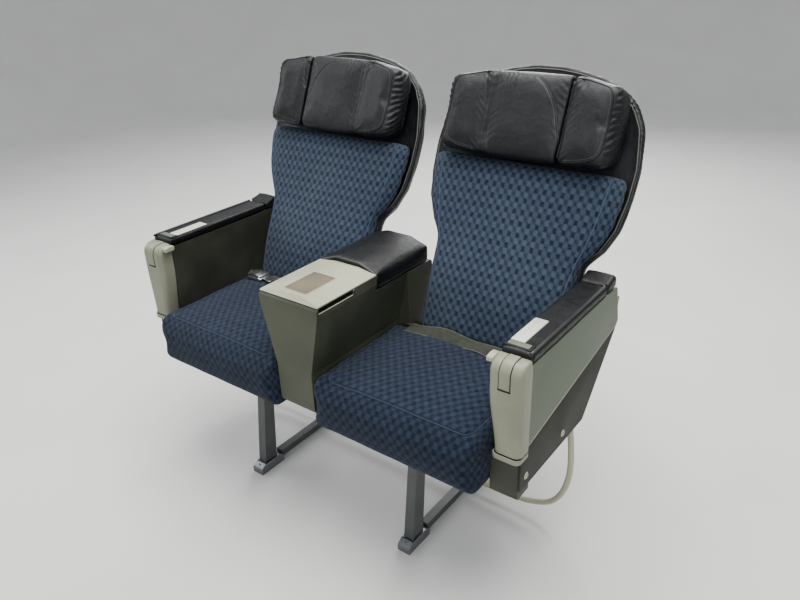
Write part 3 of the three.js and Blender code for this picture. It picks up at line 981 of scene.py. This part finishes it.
def shell_cover_form(outline):
    """The leather cover of the back: a rolled rim round a flat front, and a domed rear."""
    levels = [(-31, 16), (-34.5, 11), (-34, 5), (-29, 1.6), (-14, 1.2), (-2, 3.5), (5, 9), (8, 20)]
    form = outwards(loft([ring(inset(outline, deep), "y", at) for at, deep in levels]))
    form = inflated(form, 8.4, 5, 2.5, lambda points: points[:, 1] < -24)
    form = dented(form, 2.0, 70)

    def slack(form):
        x, y, z = form.points.T
        sides = rise(np.abs(x), 168, 190) * fall(z, 330, 390)
        middle = fall(np.abs(x), 120, 170) * rise(z, 276, 300) * fall(z, 350, 400)
        crown = 0.8 * rise(z, 470, 500) * fall(z, 600, 650)
        return (sides + middle + crown) * np.clip(patchy(form, 0.011, 5, 0.5, 0.9), 0, 1) * rise(y, 0, 9)

    def pulled(form):
        x, y, z = form.points.T
        return fall(np.abs(x), 150, 215) * rise(z, 280, 330) * fall(z, 620, 670) * rise(y, 0, 9)

    def upper_corner(form):
        x, y, z = form.points.T
        high = rise(z, 470, 560) * fall(z, 668, 700) * rise(np.abs(x), 170, 215)
        rim = fall(distance_to([ring(outline, "y", 0)], form.points * [1, 0, 1]), 12, 20)
        return high * patchy(form, 0.02, 3, 0.55, 0.75) * rim * rise(-y, -12, 4)

    form = wrinkled(form, 2.3, slack, lambda x, y, z: z + 0.45 * abs(x), 34, 0.5)
    form = wrinkled(form, 1.5, pulled, lambda x, y, z: z * 0.75 - x * 0.5, 44, 0.2)
    return wrinkled(form, 2.3, upper_corner, lambda x, y, z: z * 1.1 - 0.4 * abs(x) + 0.8 * y, 15)


def rear_path(*points):
    return smooth_path([(x, SHELL_REAR, z) for x, z in points])


def rear_pair(*points):
    return [rear_path(*[(sign * x, z) for x, z in points]) for sign in SIGNS]


def shell_seams(outline):
    """Seams of the cover behind: piped ones for the yoke and the curved side panels, plain ones elsewhere."""
    yoke = rear_path((-256, 462), (-190, 456), (-90, 452), (0, 451), (90, 452), (190, 456), (256, 462))
    curves = rear_pair((248, 404), (218, 396), (190, 378), (170, 348), (164, 310), (166, 256), (172, 150),
                       (176, 60))
    lower = rear_path((-162, 268), (-100, 264), (0, 263), (100, 264), (162, 268))
    crown = rear_pair((104, 454), (116, 520), (112, 590), (88, 664))
    band = inset(outline, 31)
    band = band[band[:, 1] > 30]
    start = int(np.argmax(np.linalg.norm(band - np.roll(band, 1, 0), axis=1)))
    return [yoke, *curves, lower], [*crown, ring(np.roll(band, -start, 0), "y", SHELL_REAR)]


@cache
def shell_forms():
    """The cover, its threads, the corded rim of its front and the welts of its rear."""
    outline = rounded(both_halves(SHELL_OUTLINE), 6)
    cover = shell_cover_form(outline)
    piped, plain = shell_seams(outline)
    sewn = Surface(cover).sewn(piped, TO_FRONT, 12)
    welts = merged(*[tube(smooth_path(line, 5) + [0, 0.3, 0], 2.5) for line in sewn])
    cover, lines = press_seams(cover, piped + plain, TO_FRONT, 6.5, 2.2)
    thread = double_rows(cover, lines, 4.4, "heavy")
    surface = Surface(cover)
    edge = resample(inset(outline, 14.5), 6, closed=True)
    rim = np.array([surface.nearest((x, SHELL_FRONT - 2, z))[0] for x, z in edge])
    rim_thread = stitches(surface, surface.aside(np.vstack([rim, rim[:1]]), 6.5))
    return cover, merged(thread, rim_thread), tube(rim, 1.5, closed=True), welts


def add_shell(fit):
    cover, threads, rim, welts = shell_forms()
    fit.add("shell_cover", cover, "leather", "back_shell", fill=0.85)
    fit.add("shell_stitching", threads, "thread")
    fit.add("shell_piping", rim, "bead")
    fit.add("shell_welts", welts, "welt")


# Literature pocket

POCKET = {"half": 158, "low": 27, "high": 232, "rear": SHELL_REAR + 2}


@cache
def pocket_form():
    """A leather pouch: an outer sheet that sags, an inner one behind it, and the rim between them."""
    p = POCKET
    columns, rows, thick = 36, 22, 4.0
    outer, inner = [], []
    for row in range(rows + 1):
        up = row / rows
        for column in range(columns + 1):
            across = 2 * column / columns - 1
            edge = 1 - abs(across) ** 5
            swell = math.sin(min(1, up * 3.2) * math.pi / 2)
            sag = 3.5 * (1 - across ** 2) * rise(up, 0.55, 1.0)
            depth = p["rear"] + 4 + 13 * edge * swell + float(sag)
            folds = 0.9 * math.sin(across * 34 + 5 * up) * max(0, 1 - up * 2.4) * (1 - edge * 0.3)
            x = across * p["half"] * (1 - 0.012 * (1 - up))
            z = p["low"] + (p["high"] - p["low"]) * up - 3.0 * (1 - across ** 2) * up
            outer.append((x, depth + folds, z))
            back = max(depth + folds - thick, p["rear"] - 1.5)
            inner.append((x * 0.985, back, z + (2.5 if row == 0 else 0)))
    width = columns + 1
    count = width * (rows + 1)
    faces = []
    for a in (row * width + column for row in range(rows) for column in range(columns)):
        faces.append((a, a + 1, a + 1 + width, a + width))
        faces.append((a + count, a + width + count, a + 1 + width + count, a + 1 + count))
    left, right = range(0, count, width), range(columns, count, width)
    foot, top = range(width), range(rows * width, count)
    for rim, order in ((left, 1), (right, -1), (foot, -1), (top, 1)):
        faces += [(a, b, b + count, a + count)[::order] for a, b in zip(rim[:-1], rim[1:])]
    return through(outwards(Form(outer + inner, faces)), subdivided(1))


def add_pocket(fit):
    pocket = pocket_form()
    fit.add("pocket_pouch", pocket, "leather", "literature_pocket")
    surface = Surface(pocket)

    def across(half, height, sag):
        """A line over the pouch that sags in its middle."""
        xs = np.linspace(-half, half, 60)
        return surface.laid([(x, 40, height - sag * (1 - (x / POCKET["half"]) ** 2)) for x in xs], TO_FRONT)

    heights = np.linspace(34, 216, 40)
    sides = [surface.laid([(sign * 148, 40, z) for z in heights], TO_FRONT) for sign in SIGNS]
    rows = [stitches(surface, line) for line in (across(150, 218, 2.5), across(146, 37, 0), *sides)]
    fit.add("pocket_stitching", merged(*rows), "thread")
    fit.add("pocket_hem", tube(across(152, 230, 2.8), 2.2), "pad")


# Headrest


def head_pad(form, held):
    """A pad of the headrest swollen as cloth, its underside hanging a little at the front."""
    form = inflated(form, 5.2, 5, 3.5, held)
    x, y, z = form.points.T
    sag = np.exp(-((z - HEAD["bottom"]) / 26) ** 2) * rise(-y, 72, 92)
    return form.moved("z", -10 * (sag * (1 - 0.4 * rise(np.abs(x), 40, 205))))


def head_centre_section(z):
    h = HEAD
    ease = drawn_in(z, h["bottom"] + 1, h["top"] - 1, 17)
    half = h["half"] - 1.5
    corners = [(half, h["rear"] - 2 - ease / 3, 2), (half, h["front"] + 3.5 + ease, 5)]
    return ring(rounded(both_halves(corners), 5), "z", z)


def headrest_centre_form():
    """The middle pad and its two seams."""
    h = HEAD
    levels = levels_between(h["bottom"] + 1, h["top"] - 1, 17, 12)

    def held(points):
        return (points[:, 1] > -46) | (np.abs(points[:, 0]) > h["half"] - 7)

    def beside_seam(form):
        x, y, z = form.points.T
        low = 0.35 + 0.65 * fall(z, 560, 620) * (x < 0)
        return low * rise(np.abs(x), 62, 90) * rise(-y, 90, 104)

    def hanging(form):
        x, y, z = form.points.T
        return rise(-x, 18, 40) * fall(-x, 66, 84) * rise(z, 560, 630) * rise(-y, 90, 104)

    form = head_pad(outwards(loft([head_centre_section(z) for z in levels])), held)
    form = wrinkled(form, 1.3, beside_seam, lambda x, y, z: z + 0.7 * abs(x), 17)
    form = wrinkled(form, 1.0, hanging, lambda x, y, z: x, 13)
    form = dented(form, 1.3, 55)
    seams = [smooth_path([(x, h["front"], z) for x, z in path]) for path in (
        [(12, 662), (40, 640), (66, 604), (82, 560), (95, 520)],
        [(-96, 556), (-90, 520), (-83, 486)],
    )]
    return press_seams(form, seams, TO_REAR, 4.5, 1.3)


def wing_section(x):
    """The wing's side profile at a distance from the middle: it deepens, then rounds off at its end."""
    h = HEAD
    start, end = 200, 225
    out = float(rise(x, 108, 205))
    t = max(0.0, (x - start) / (end - start))
    turn = 1 - math.sqrt(max(1 - t * t, 0))
    seam = drawn_in(x, WING_INNER, 1000, 4)
    front = h["front"] + 3 - 8 * out + 30 * turn + seam
    rear = -48.5 - 2 * turn
    top = h["top"] - 1.5 - 15 * out - 46 * turn - seam
    bottom = h["bottom"] + 1.5 + 1 * out + 30 * turn + seam
    return ring(rounded([(rear, bottom, 7), (front, bottom, 16), (front, top, 19), (rear, top, 7)]), "x", x)


def headrest_wing_form():
    stations = [WING_INNER + at for at in (0, 1, 2.5, 4)] + list(np.linspace(116, 192, 9))
    stations += [200, 206, 211, 215, 218.5, 221.2, 223.2, 224.5, 225]

    def held(points):
        return (points[:, 1] > -53) | (points[:, 0] < WING_INNER + 6)

    def beside_seam(form):
        x, y, _ = form.points.T
        return fall(x, 108, 138) * rise(-y, 90, 104) * 0.6

    def gusset(form):
        x, y, _ = form.points.T
        facing = fall(-form.normals()[:, 1], 0.72, 0.9)
        return rise(x, 190, 208) * facing * rise(-y, 52, 60) * fall(-y, 108, 117)

    form = head_pad(outwards(loft([wing_section(x) for x in stations])), held)
    form = wrinkled(form, 1.3, beside_seam, lambda x, y, z: z - 0.7 * x, 16)
    form = wrinkled(form, 1.9, gusset, lambda x, y, z: z - y * 0.9 + x * 0.3, 16, 0.5)
    form = dented(form, 1.2, 60)
    seam = smooth_path([(x, HEAD["front"], z) for x, z in [(124, 668), (116, 630), (107, 584)]])
    return press_seams(form, [seam], TO_REAR, 5, 1.8)[0]


def wing_piping(surface):
    """Two corded edges round the wing's side, one at its face and one at its rear."""
    face = [(106, -108, 668), (130, -110, 668), (160, -114, 664), (188, -118, 654), (203, -119, 632),
            (208, -119, 600), (209, -119, 560), (207, -119, 520), (199, -118, 497), (180, -117, 486),
            (150, -113, 478), (120, -110, 474)]
    rear = [(112, 676), (150, 672), (190, 664), (211, 646), (221, 618), (224, 580), (223, 540), (215, 506),
            (196, 486), (160, 480), (120, 478)]
    paths = face, [(x, -58, z) for x, z in rear]
    return [resample([surface.nearest(point)[0] for point in smooth_path(path, 5)], 5) for path in paths]


def joint_rows():
    """Round the pads' side profile from below, over the face, to the top: places and directions inwards."""
    low, high = HEAD["bottom"] + 14, HEAD["top"] - 20
    turns = np.linspace(0.2, 1.4, 6)
    rows = [((-66 - 22 * t, low), (0, 1)) for t in (0, 0.5)]
    rows += [((-90, low), (math.sin(a), math.cos(a))) for a in turns]
    rows += [((-90, z), (1, 0)) for z in np.linspace(low + 3, high - 3, 26)]
    rows += [((-90, high), (math.cos(a), -math.sin(a))) for a in turns]
    return rows + [((-88 + 30 * t, high), (0, -1)) for t in (0.1, 0.55, 1.0)]


# Places across a joint, and how far the leather lies above the pads' faces at each
JOINT_X = np.array([86, 89, 92, 95, 97.5, 100, 102.5, 105, 108, 111, 114], float)
DEEP_JOINT = np.array([-3, -4, -6, -9, -11, -12, -11, -9, -6, -4, -3])
FLUSH_JOINT = np.array([-1.6, -0.3, 0.5, 0.4, -0.2, -0.9, -0.2, 0.4, 0.5, -0.3, -1.6])
JOINT_EDGES = (90.5, 109.5)
WEB_THICK = 1.6


def joint_web(pads, lifts):
    """Leather carried across the joint between two pads, lifted off or sunk below their faces."""
    bridge = (JOINT_X > JOINT_EDGES[0]) & (JOINT_X < JOINT_EDGES[1])
    rings = []
    for i, ((y, z), (dy, dz)) in enumerate(joint_rows()):
        inwards = np.array([0, dy, dz])
        heights = []
        for x in (*JOINT_X, *JOINT_EDGES):
            origin = np.array([x, y, z], float)
            hit = pads.seen(origin, inwards)
            heights.append((origin - np.array(hit)) @ inwards if hit else 0.0)
        heights, ends = np.array(heights[:-2]), heights[-2:]
        heights[bridge] = np.interp(JOINT_X[bridge], JOINT_EDGES, ends)
        heights += lifts + 0.5 * math.sin(i * 1.9) * bridge
        outer = np.array([[x, y, z] - inwards * height for x, height in zip(JOINT_X, heights)])
        rings.append(np.vstack([outer, (outer + inwards * WEB_THICK)[::-1]]))
    return outwards(loft(rings))


def rear_web():
    """A folded leather strip behind the joint between two pads."""
    fold = np.array([(88, -47), (94, -52), (98, -66), (100, -72), (102, -66), (106, -54), (112, -53)], float)
    loop = np.vstack([fold, (fold + [0, WEB_THICK])[::-1]])
    heights = np.linspace(HEAD["bottom"] - 1, HEAD["top"] - 8, 24)
    return outwards(loft([ring(loop, "z", z) for z in heights]))


@cache
def headrest_forms():
    """Middle pad, its thread, wing, its piping and thread, and the front webs of the two joints."""
    centre, lines = headrest_centre_form()
    centre_thread = double_rows(centre, lines, 2.8, "fine")
    wing = headrest_wing_form()
    surface = Surface(wing)
    edges = wing_piping(surface)
    cord = merged(*[tube(line, 1.7) for line in edges])
    wing_thread = merged(*[stitches(surface, surface.aside(line, side * 5.0), "fine")
                           for line, side in zip(edges, (1, -1))])
    webs = {hand: joint_web(Surface(merged(centre.placed(flip(hand)), wing)), lifts)
            for hand, lifts in ((1, DEEP_JOINT), (-1, FLUSH_JOINT))}
    return centre, centre_thread, wing, cord, wing_thread, webs


def add_headrest(back):
    centre, centre_thread, wing, cord, wing_thread, webs = headrest_forms()
    head = back.on("headrest")
    head.add("head_pad", centre, "leather", "headrest_centre", fill=0.8)
    head.add("head_stitching", centre_thread, "thread")
    rails = [block((sign * 58 - 6, sign * 58 + 6), (-46, -33), (488, 674), 1.5) for sign in SIGNS]
    back.add("headrest_rails", merged(*rails), "track")
    for hand in (1, -1):
        name = "right" if hand * SIDES[back.side] > 0 else "left"
        fit = back.on(f"{name}_wing", back.place @ flip(hand))
        fit.add(f"{name}_wing_pad", wing, "leather", f"headrest_{name}_wing", fill=0.8)
        fit.add(f"{name}_wing_piping", cord, "pad")
        fit.add(f"{name}_wing_stitching", wing_thread, "thread")
        for end, form in (("front", webs[hand]), ("rear", rear_web())):
            add_web(f"{back.side}_{name}_{end}_gusset", form, fit)


def add_web(name, form, wing):
    """Leather that turns from the middle pad's body to the wing's across their joint."""
    piece = add(name, form, "stretch", None, wing.place)
    store(piece, "rest", form.points * MM)
    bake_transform(piece)


def add_backs():
    for side in SIDES:
        fit = Fitting(side, back_frame(side), f"{side}_back")
        cushion, piping, weave = back_cushion_forms()
        fit.add("back_pad", cushion, "fabric", "back_cushion", weave=weave, fill=0.7)
        fit.add("back_piping", piping, "piping")
        add_shell(fit)
        add_pocket(fit)
        add_headrest(fit)


# Arms


def arm_pad(corners, crown):
    """An upholstered pad on the arm: a prism with soft edges and a crowned top."""
    low, high = ARM["inner"] + 0.6, ARM["outer"] - 0.6
    ends = [(0, 4.5), (1.2, 2.2), (3.5, 0.7), (7, 0)]
    rings = soft_prism(rounded(corners, 5), "x", low, high, ends, np.linspace(low + 14, high - 14, 6))
    for points in rings:
        share = 1 - ((points[:, 0] - (low + high) / 2) / ((high - low) / 2)) ** 2
        top = rise(points[:, 2], np.percentile(points[:, 2], 55), points[:, 2].max())
        points[:, 2] += crown * share * top
    return dented(through(outwards(loft(rings)), voxels(3.2), smoothing(3)), 0.5, 45)


def arm_lid_form():
    a = ARM
    foot, front, rear = a["rim"] + 1.5, a["front"] - 0.5, a["rear"] + 3
    corners = [(front, foot, 3), (rear, foot, 3), (rear, a["pad"] - 1.5, 6), (front, a["pad"] - 1.0, 9)]
    return arm_pad(corners, 1.6)


def arm_rear_pad_form():
    foot = ARM["rim"] + 1.5
    return arm_pad([(99, foot, 3), (149, foot, 4), (150, 680, 7), (141, 688, 6), (122, 683, 20),
                    (99, ARM["pad"] - 1.5, 5)], 1.2)


def open_loop(inner, outer, front, rear, corner):
    """A section of the front cap: round corners at the front, square ones against the arm."""
    return rounded([(inner, rear), (inner, front, corner), (outer, front, corner), (outer, rear)], 8)


def arm_cap_form():
    """The moulded front cap: stacked rings that narrow to the foot and roll over at the top."""
    nose, shoulder = CAP["nose"], CAP["top"] - CAP["nose"]
    levels = [(z, 0.0) for z in np.linspace(CAP["low"] + 1.5, shoulder, 16)]
    levels += [(shoulder + nose * math.sin(t), 1 - math.cos(t)) for t in np.linspace(0.12, math.pi / 2, 9)]
    rings = []
    for z, roll in levels:
        foot = 1 - float(rise(z, 450, 600))
        inner = ARM["inner"] - 3 + 14 * foot + 5 * roll
        outer = ARM["outer"] + 1 - 5 * roll
        front = CAP["front"] + 3.5 * foot + 24 * roll
        rings.append(ring(open_loop(inner, outer, front, ARM["front"] - 0.6, 15), "z", z))
    return bevelled(loft(rings), 1.2, 2, 60)


def cap_profile(lift):
    """The cap's middle line from the top over the nose and down, lifted off the face."""
    front, top, nose = CAP["front"], CAP["top"], CAP["nose"]
    points = [(-262.5, top + lift), (-272, top + lift)]
    for t in np.linspace(math.pi / 2, 0, 9):
        points.append((front + 24 - (24 + lift) * math.cos(t), top - nose + (nose + lift) * math.sin(t)))
    return np.array(points + [(front - lift, 622), (front - lift, 611)])


def cap_strip(half, lift, thick):
    loop = np.vstack([cap_profile(lift), cap_profile(lift - thick)[::-1]])
    return bevelled(loft([ring(loop, "x", CAP["middle"] + sign * half) for sign in SIGNS]), 0.5, 2, 50)


def add_arm(fit):
    a, top = ARM, ARM["pad"]
    lid = fit.on("lid")
    lid.add("lid_pad", arm_lid_form(), "pad", "arm_lid", fill=0.9)
    fit.add("rear_pad", arm_rear_pad_form(), "pad", "arm_rear_pad", fill=0.9)
    x = a["outer"] - 6.6
    bead = smooth_path([(x, a["front"] + 3.5, top - 5), (x, a["front"] + 8, top - 0.6),
                        (x, a["front"] + 30, top - 0.2), (x, a["rear"] - 2, top - 0.2)], 8)
    lid.add("lid_bead", tube(bead, BEAD_RADIUS, 12), "rubber")
    bead = smooth_path([(x, 101, top - 0.3), (x, 118, 681), (x, 138, 686.5)])
    fit.add("rear_bead", tube(bead, BEAD_RADIUS, 12), "rubber")
    lid.add("lid_strip", slab(rect((517, -231), (548, -126), 2, 3), "z", top - 0.5, top + 2.4, 0.9), "satin")
    lid.add("latch_surround", slab(rect((515, -253), (572, -229), 3), "z", top - 2, top + 1.2, 0.8), "dark")
    button = slab(rect((519, -249.5), (566, -233), 2.5), "z", top + 0.4, top + 3.0, 0.9)
    lid.add("latch_button", button, "green")
    add_arm_case(fit)
    add_bracket(fit)
    add_arm_front(fit)


def add_arm_case(fit):
    """The outer panels with their edge lines and bolts."""
    front, outer, rim = ARM["front"], ARM["outer"], ARM["rim"] - 0.3
    fit.dress("arm_box", "box", 0.8)
    panel = [(front, 468.3), (188.5, 549, 10), (157.5, rim, 10), (front, rim)]
    fit.add("side_panel", slab(panel, "x", outer - 6, outer, 1.4), "green", "arm_outer_panel")
    edge = smooth_path([(outer - 1.0, y, z) for y, z in ((front + 2, 466.6), (-40, 506.6), (178, 545.4))], 12)
    fit.add("panel_edge", tube(edge, 1.5), "cream")
    lower = [(front, 440.7), (-288, 440.7), (-290, 363, 8), (21, 363, 6), (63, 409, 8), (183.5, 545, 4),
             (front, 466)]
    # The lower panel has the olive plastic darkened with painted shade.
    fit.add("lower_panel", slab(lower, "x", outer - 6, outer - 1.2, 1.2), "olive_shaded", "arm_lower_panel")
    bolts = [bolt((outer - 1.4, y, 392), "x", 8.5) for y in (-90, -262)]
    fit.add("panel_bolts", merged(*bolts), "paint")


def bolt(centre, axis, radius, height=3.6):
    """A pan head with a washer and a hex socket."""
    washer = turned([(0, -0.5), (radius, -0.5), (radius, 0.6), (radius * 0.94, 1.0), (0, 1.0)], axis, centre)
    r = radius * 0.72
    head = turned([(0, 0.5), (r, 0.5), (r, height * 0.6), (r * 0.86, height * 0.9), (r * 0.5, height),
                   (r * 0.45, height), (r * 0.45, height * 0.45), (0, height * 0.45)], axis, centre)
    return merged(washer, head)


def add_bracket(fit):
    """A small folded plate at the arm's rear corner, with painted shade inside its fold: a dark cheek."""
    plate = [(158, 604, 2), (199, 612, 4), (203, 603, 4), (193, 562, 6), (178, 548, 3)]
    fold = [(158, 604), (199, 612, 4), (204, 603, 4), (201.2, 603, 3), (197.6, 608.8, 3), (158, 601)]
    cheek = [(160, 598, 2), (193, 604, 3), (195, 598, 3), (186, 564, 4), (178, 552, 2)]
    bracket = merged(slab(plate, "x", 572, 574.6, 0.8), slab(fold, "x", 546, 574.6, 0.8))
    bolts = [bolt((574.2, y, z), "x", 4.2, 2.4) for y, z in ((186, 596), (184, 572))]
    fit.add("shroud_bracket", bracket, "cream")
    fit.add("bracket_bolts", merged(*bolts), "track")
    # Painted shade inside the bracket's fold.
    fit.add("shroud_fold_shade", slab(cheek, "x", 550, 571, 1.0), "dark")


def add_arm_front(fit):
    # The cap look is the cream plastic darkened with painted shade.
    fit.add("front_cap", arm_cap_form(), "cap", "arm_front_cap", smooth=40)
    fit.add("cap_joint", cap_strip(13.6, 0.35, 3), "dark", smooth=40)
    fit.add("cap_strip", cap_strip(11.6, 1.3, 3.4), "cap", smooth=40)
    middle, front = CAP["middle"], CAP["front"]
    tip = rect((middle - 13.8, 606.4), (middle + 13.8, 611.6))
    # Painted shade in the gap at the foot of the cap's strip.
    fit.add("cap_gap", slab(tip, "y", front - 0.9, front + 4, 0.4), "dark")
    foot = open_loop(520, 584.4, -304, -262.4, 13)
    band = bevelled(loft([ring(foot, "z", z) for z in (441, 453)]), 1.3, 3, 50)
    fit.add("cap_foot", band, "cap", smooth=40)
    groove = open_loop(521.6, 584.2, -302.2, -262.4, 13)
    # Painted shade in the groove above the cap's foot band.
    fit.add("cap_groove", outwards(loft([ring(groove, "z", z) for z in (453, 455.4)])), "dark")
    lever = [(-289, 650.5, 4), (-259, 650.5, 4), (-259, 663.5, 4), (-274, 665, 6), (-289, 662, 5)]
    fit.add("recline_tab", slab(lever, "x", 496, 511, 1.8), "cream", "recline_lever")
    fit.add("tray", slab(rect((-234, 430.5), (74, 640), 12, 20), "x", 531, 557, 3), "cream", "tray_leaf")


# Console


def add_console():
    c = CONSOLE
    dress("console_body", "olive", 1.0)
    half = [(c["half"], 626, 2), (c["half"], c["side"], 4), (c["flat"], c["top"] - 1, 6)]
    low, high = c["pad_front"], c["pad_rear"]
    ends = [(0, 7), (1.5, 3.5), (4, 1.2), (9, 0)]
    rings = soft_prism(rounded(both_halves(half)), "y", low, high, ends, np.linspace(low + 30, high - 30, 6))
    pad = inflated(outwards(loft(rings)), 4.5, 2.0, 1.0, lambda points: points[:, 2] < 640, levels=0)
    pad = dented(pad, 0.8, 60)
    add("console_rest", pad, "pad", "base", replaces=["console_pad"], fill=0.9)
    crest = rounded(both_halves([(89, 655), (89, c["side"] - 3, 6), (c["flat"], c["top"] - 4, 12)]))
    add("console_rest_bead", tube(resample(ring(crest, "y", low + 1.5), 6), 3.2, 12), "rubber", "base")
    surface = Surface(pad)
    hems = [surface.laid([(sign * 150, y, 634) for y in np.linspace(low + 8, high - 8, 60)], (-sign, 0, 0))
            for sign in SIGNS]
    add("console_rest_stitching", merged(*[stitches(surface, line) for line in hems]), "thread", "base")
    add_console_top()


def add_console_top():
    dress("console_top", "cream", 1.6)
    dress("console_mat", "mat", 0.5)
    rim = resample(rounded(rect((-36.5, -302.5), (36.5, -195.5), 5), 5), 5, closed=True)
    add("console_recess_rim", tube(ring(rim, "z", 675.0), 1.5, closed=True), "cream", "base")
    for side, sign in SIDES.items():
        fit = Fitting(side, flip(sign))
        ribs = [block((86.8, 91.0), (y, y + 3.2), (652, 661.6), 0.5) for y in np.arange(-318, -210, 7.5)]
        fit.add("slot_ribs", merged(*ribs), "dark")
        trim = smooth_path([(91.7, y, 650.2) for y in (-323, -260, -203)], 20)
        fit.add("slot_trim", tube(trim, 1.3), "cream")
        fit.add("slot_clip", slab(rect((-206, 650.5), (-200, 663), 2), "x", 90.8, 94, 0.8), "track")


# Floor structure


def add_cross_tube(node, y):
    r, half = TUBE["radius"], TUBE["half"]
    # The rolled end: how far it is cut back from the radius and from the end
    end = [(3, 1), (2.4, 0), (0.6, 0), (0, 0.8)]
    profile = [(r - cut, at - half) for cut, at in end] + [(r, -half / 2), (r, half / 2)]
    profile += [(r - cut, half - at) for cut, at in reversed(end)]
    skin = turned(profile, "x", (0, y, TUBE["z"]), 48)
    add(f"{node}_skin", skin, "tube", "base", replaces=[node], smooth=30)


def add_structure():
    for node, y in TUBE_Y.items():
        add_cross_tube(node, y)
    half = [(564, -5, 365), (564.4, -5, 348), (571, -4, 290), (572, 0, 215), (556, 8, 142), (522, 18, 84),
            (470, 24, 53), (410, 25, 40.8), (340, 25, 38.8), (190, 25, 38.8)]
    rail = tube(smooth_path(both_halves(half), 9), 7.5, 16)
    add("luggage_rail", rail, "paint", "base", replaces=["luggage_bar"])
    for side, sign in SIDES.items():
        fit = Fitting(side, flip(sign))
        fit.dress("seat_pan", "track", 0.8)
        for look, nodes in (("leg", ("front_leg", "rear_leg", "leg_brace", "tie_rail")),
                            ("track", ("front_track_fitting", "rear_track_fitting"))):
            for node in nodes:
                fit.dress(node, look, 1.2)
        bolts = [bolt((265, y + shift, 22.5), "z", 6.5, 5) for y in (-230, 170) for shift in (-33, 33)]
        bolts += [bolt((282.6, y, TUBE["z"] + 27.5), "x", 5, 3) for y in TUBE_Y.values()]
        fit.add("floor_bolts", merged(*bolts), "track")


# Room, light and camera, in metres


def add_room():
    """A round studio floor that curves up into a pale wall."""
    radius, bend, height = 5.2, 2.4, 3.2
    profile = [(0.001, 0.0), (radius, 0.0)]
    for t in np.linspace(0, math.pi / 2, 14)[1:]:
        profile.append((radius + bend * math.sin(t), bend * (1 - math.cos(t))))
    profile.append((radius + bend, height))
    rings = [ring(circle(96) * reach, "z", at) / MM for reach, at in profile]
    mesh = mesh_of(loft(rings, capped=False), "studio_floor")
    mesh.flip_normals()
    mesh.shade_smooth()
    floor = bpy.data.objects.new("studio_floor", mesh)
    bpy.context.scene.collection.objects.link(floor)
    look = Look("studio_floor")
    tone = look.fade(look.cloud(3, 3), 0.3, 0.7)
    look.surface(base_color=look.mix(tone, (209, 209, 206), (212, 212, 209)), roughness=0.8)
    floor.data.materials.append(look.material)


def add_light(name, place, target, size, power, colour=(1, 1, 1)):
    data = bpy.data.lights.new(name, "AREA")
    data.shape = "RECTANGLE"
    data.size, data.size_y = size
    data.energy = power
    data.color = colour
    lamp = bpy.data.objects.new(name, data)
    lamp.location = place
    lamp.rotation_euler = (Vector(target) - Vector(place)).to_track_quat("-Z", "Y").to_euler()
    bpy.context.scene.collection.objects.link(lamp)


def add_lights():
    middle = (0, 0, 0.6)
    add_light("overhead", (0.2, 0.1, 3.2), (0.1, -0.1, 0.5), (3.2, 2.4), 128, (1.0, 0.985, 0.96))
    add_light("front_fill", (1.6, -3.2, 1.9), middle, (2.2, 1.6), 30, (0.96, 0.98, 1.0))
    add_light("left_fill", (-3.0, -0.8, 2.0), middle, (1.8, 1.8), 26, (0.97, 0.99, 1.0))
    add_light("rear_fill", (-1.2, 3.2, 2.2), (0.0, 0.3, 0.7), (2.4, 1.2), 62)
    world = bpy.data.worlds.new("studio")
    world.use_nodes = True
    background = world.node_tree.nodes["Background"].inputs
    background["Color"].default_value = (0.86, 0.89, 0.93, 1)
    background["Strength"].default_value = 0.55
    bpy.context.scene.world = world
    bpy.context.scene.view_settings.look = "AgX - Medium High Contrast"


def add_camera():
    """The photograph's standpoint, turned and zoomed so that the whole unit is in the frame."""
    camera = bpy.data.objects.new("camera", bpy.data.cameras.new("camera"))
    stand = Vector((1.084, -1.315, 1.371))
    target = Vector((0.07, 0.0, 0.545))
    roll = Matrix.Rotation(math.radians(-2.0), 3, "Z").to_quaternion()
    camera.rotation_mode = "QUATERNION"
    camera.location = stand
    camera.rotation_quaternion = (target - stand).to_track_quat("-Z", "Y") @ roll
    camera.data.lens = 32
    camera.data.sensor_width = 36
    bpy.context.scene.collection.objects.link(camera)
    bpy.context.scene.camera = camera


add_camera()
add_seats()
add_backs()
add_console()
add_structure()
add_room()
add_lights()
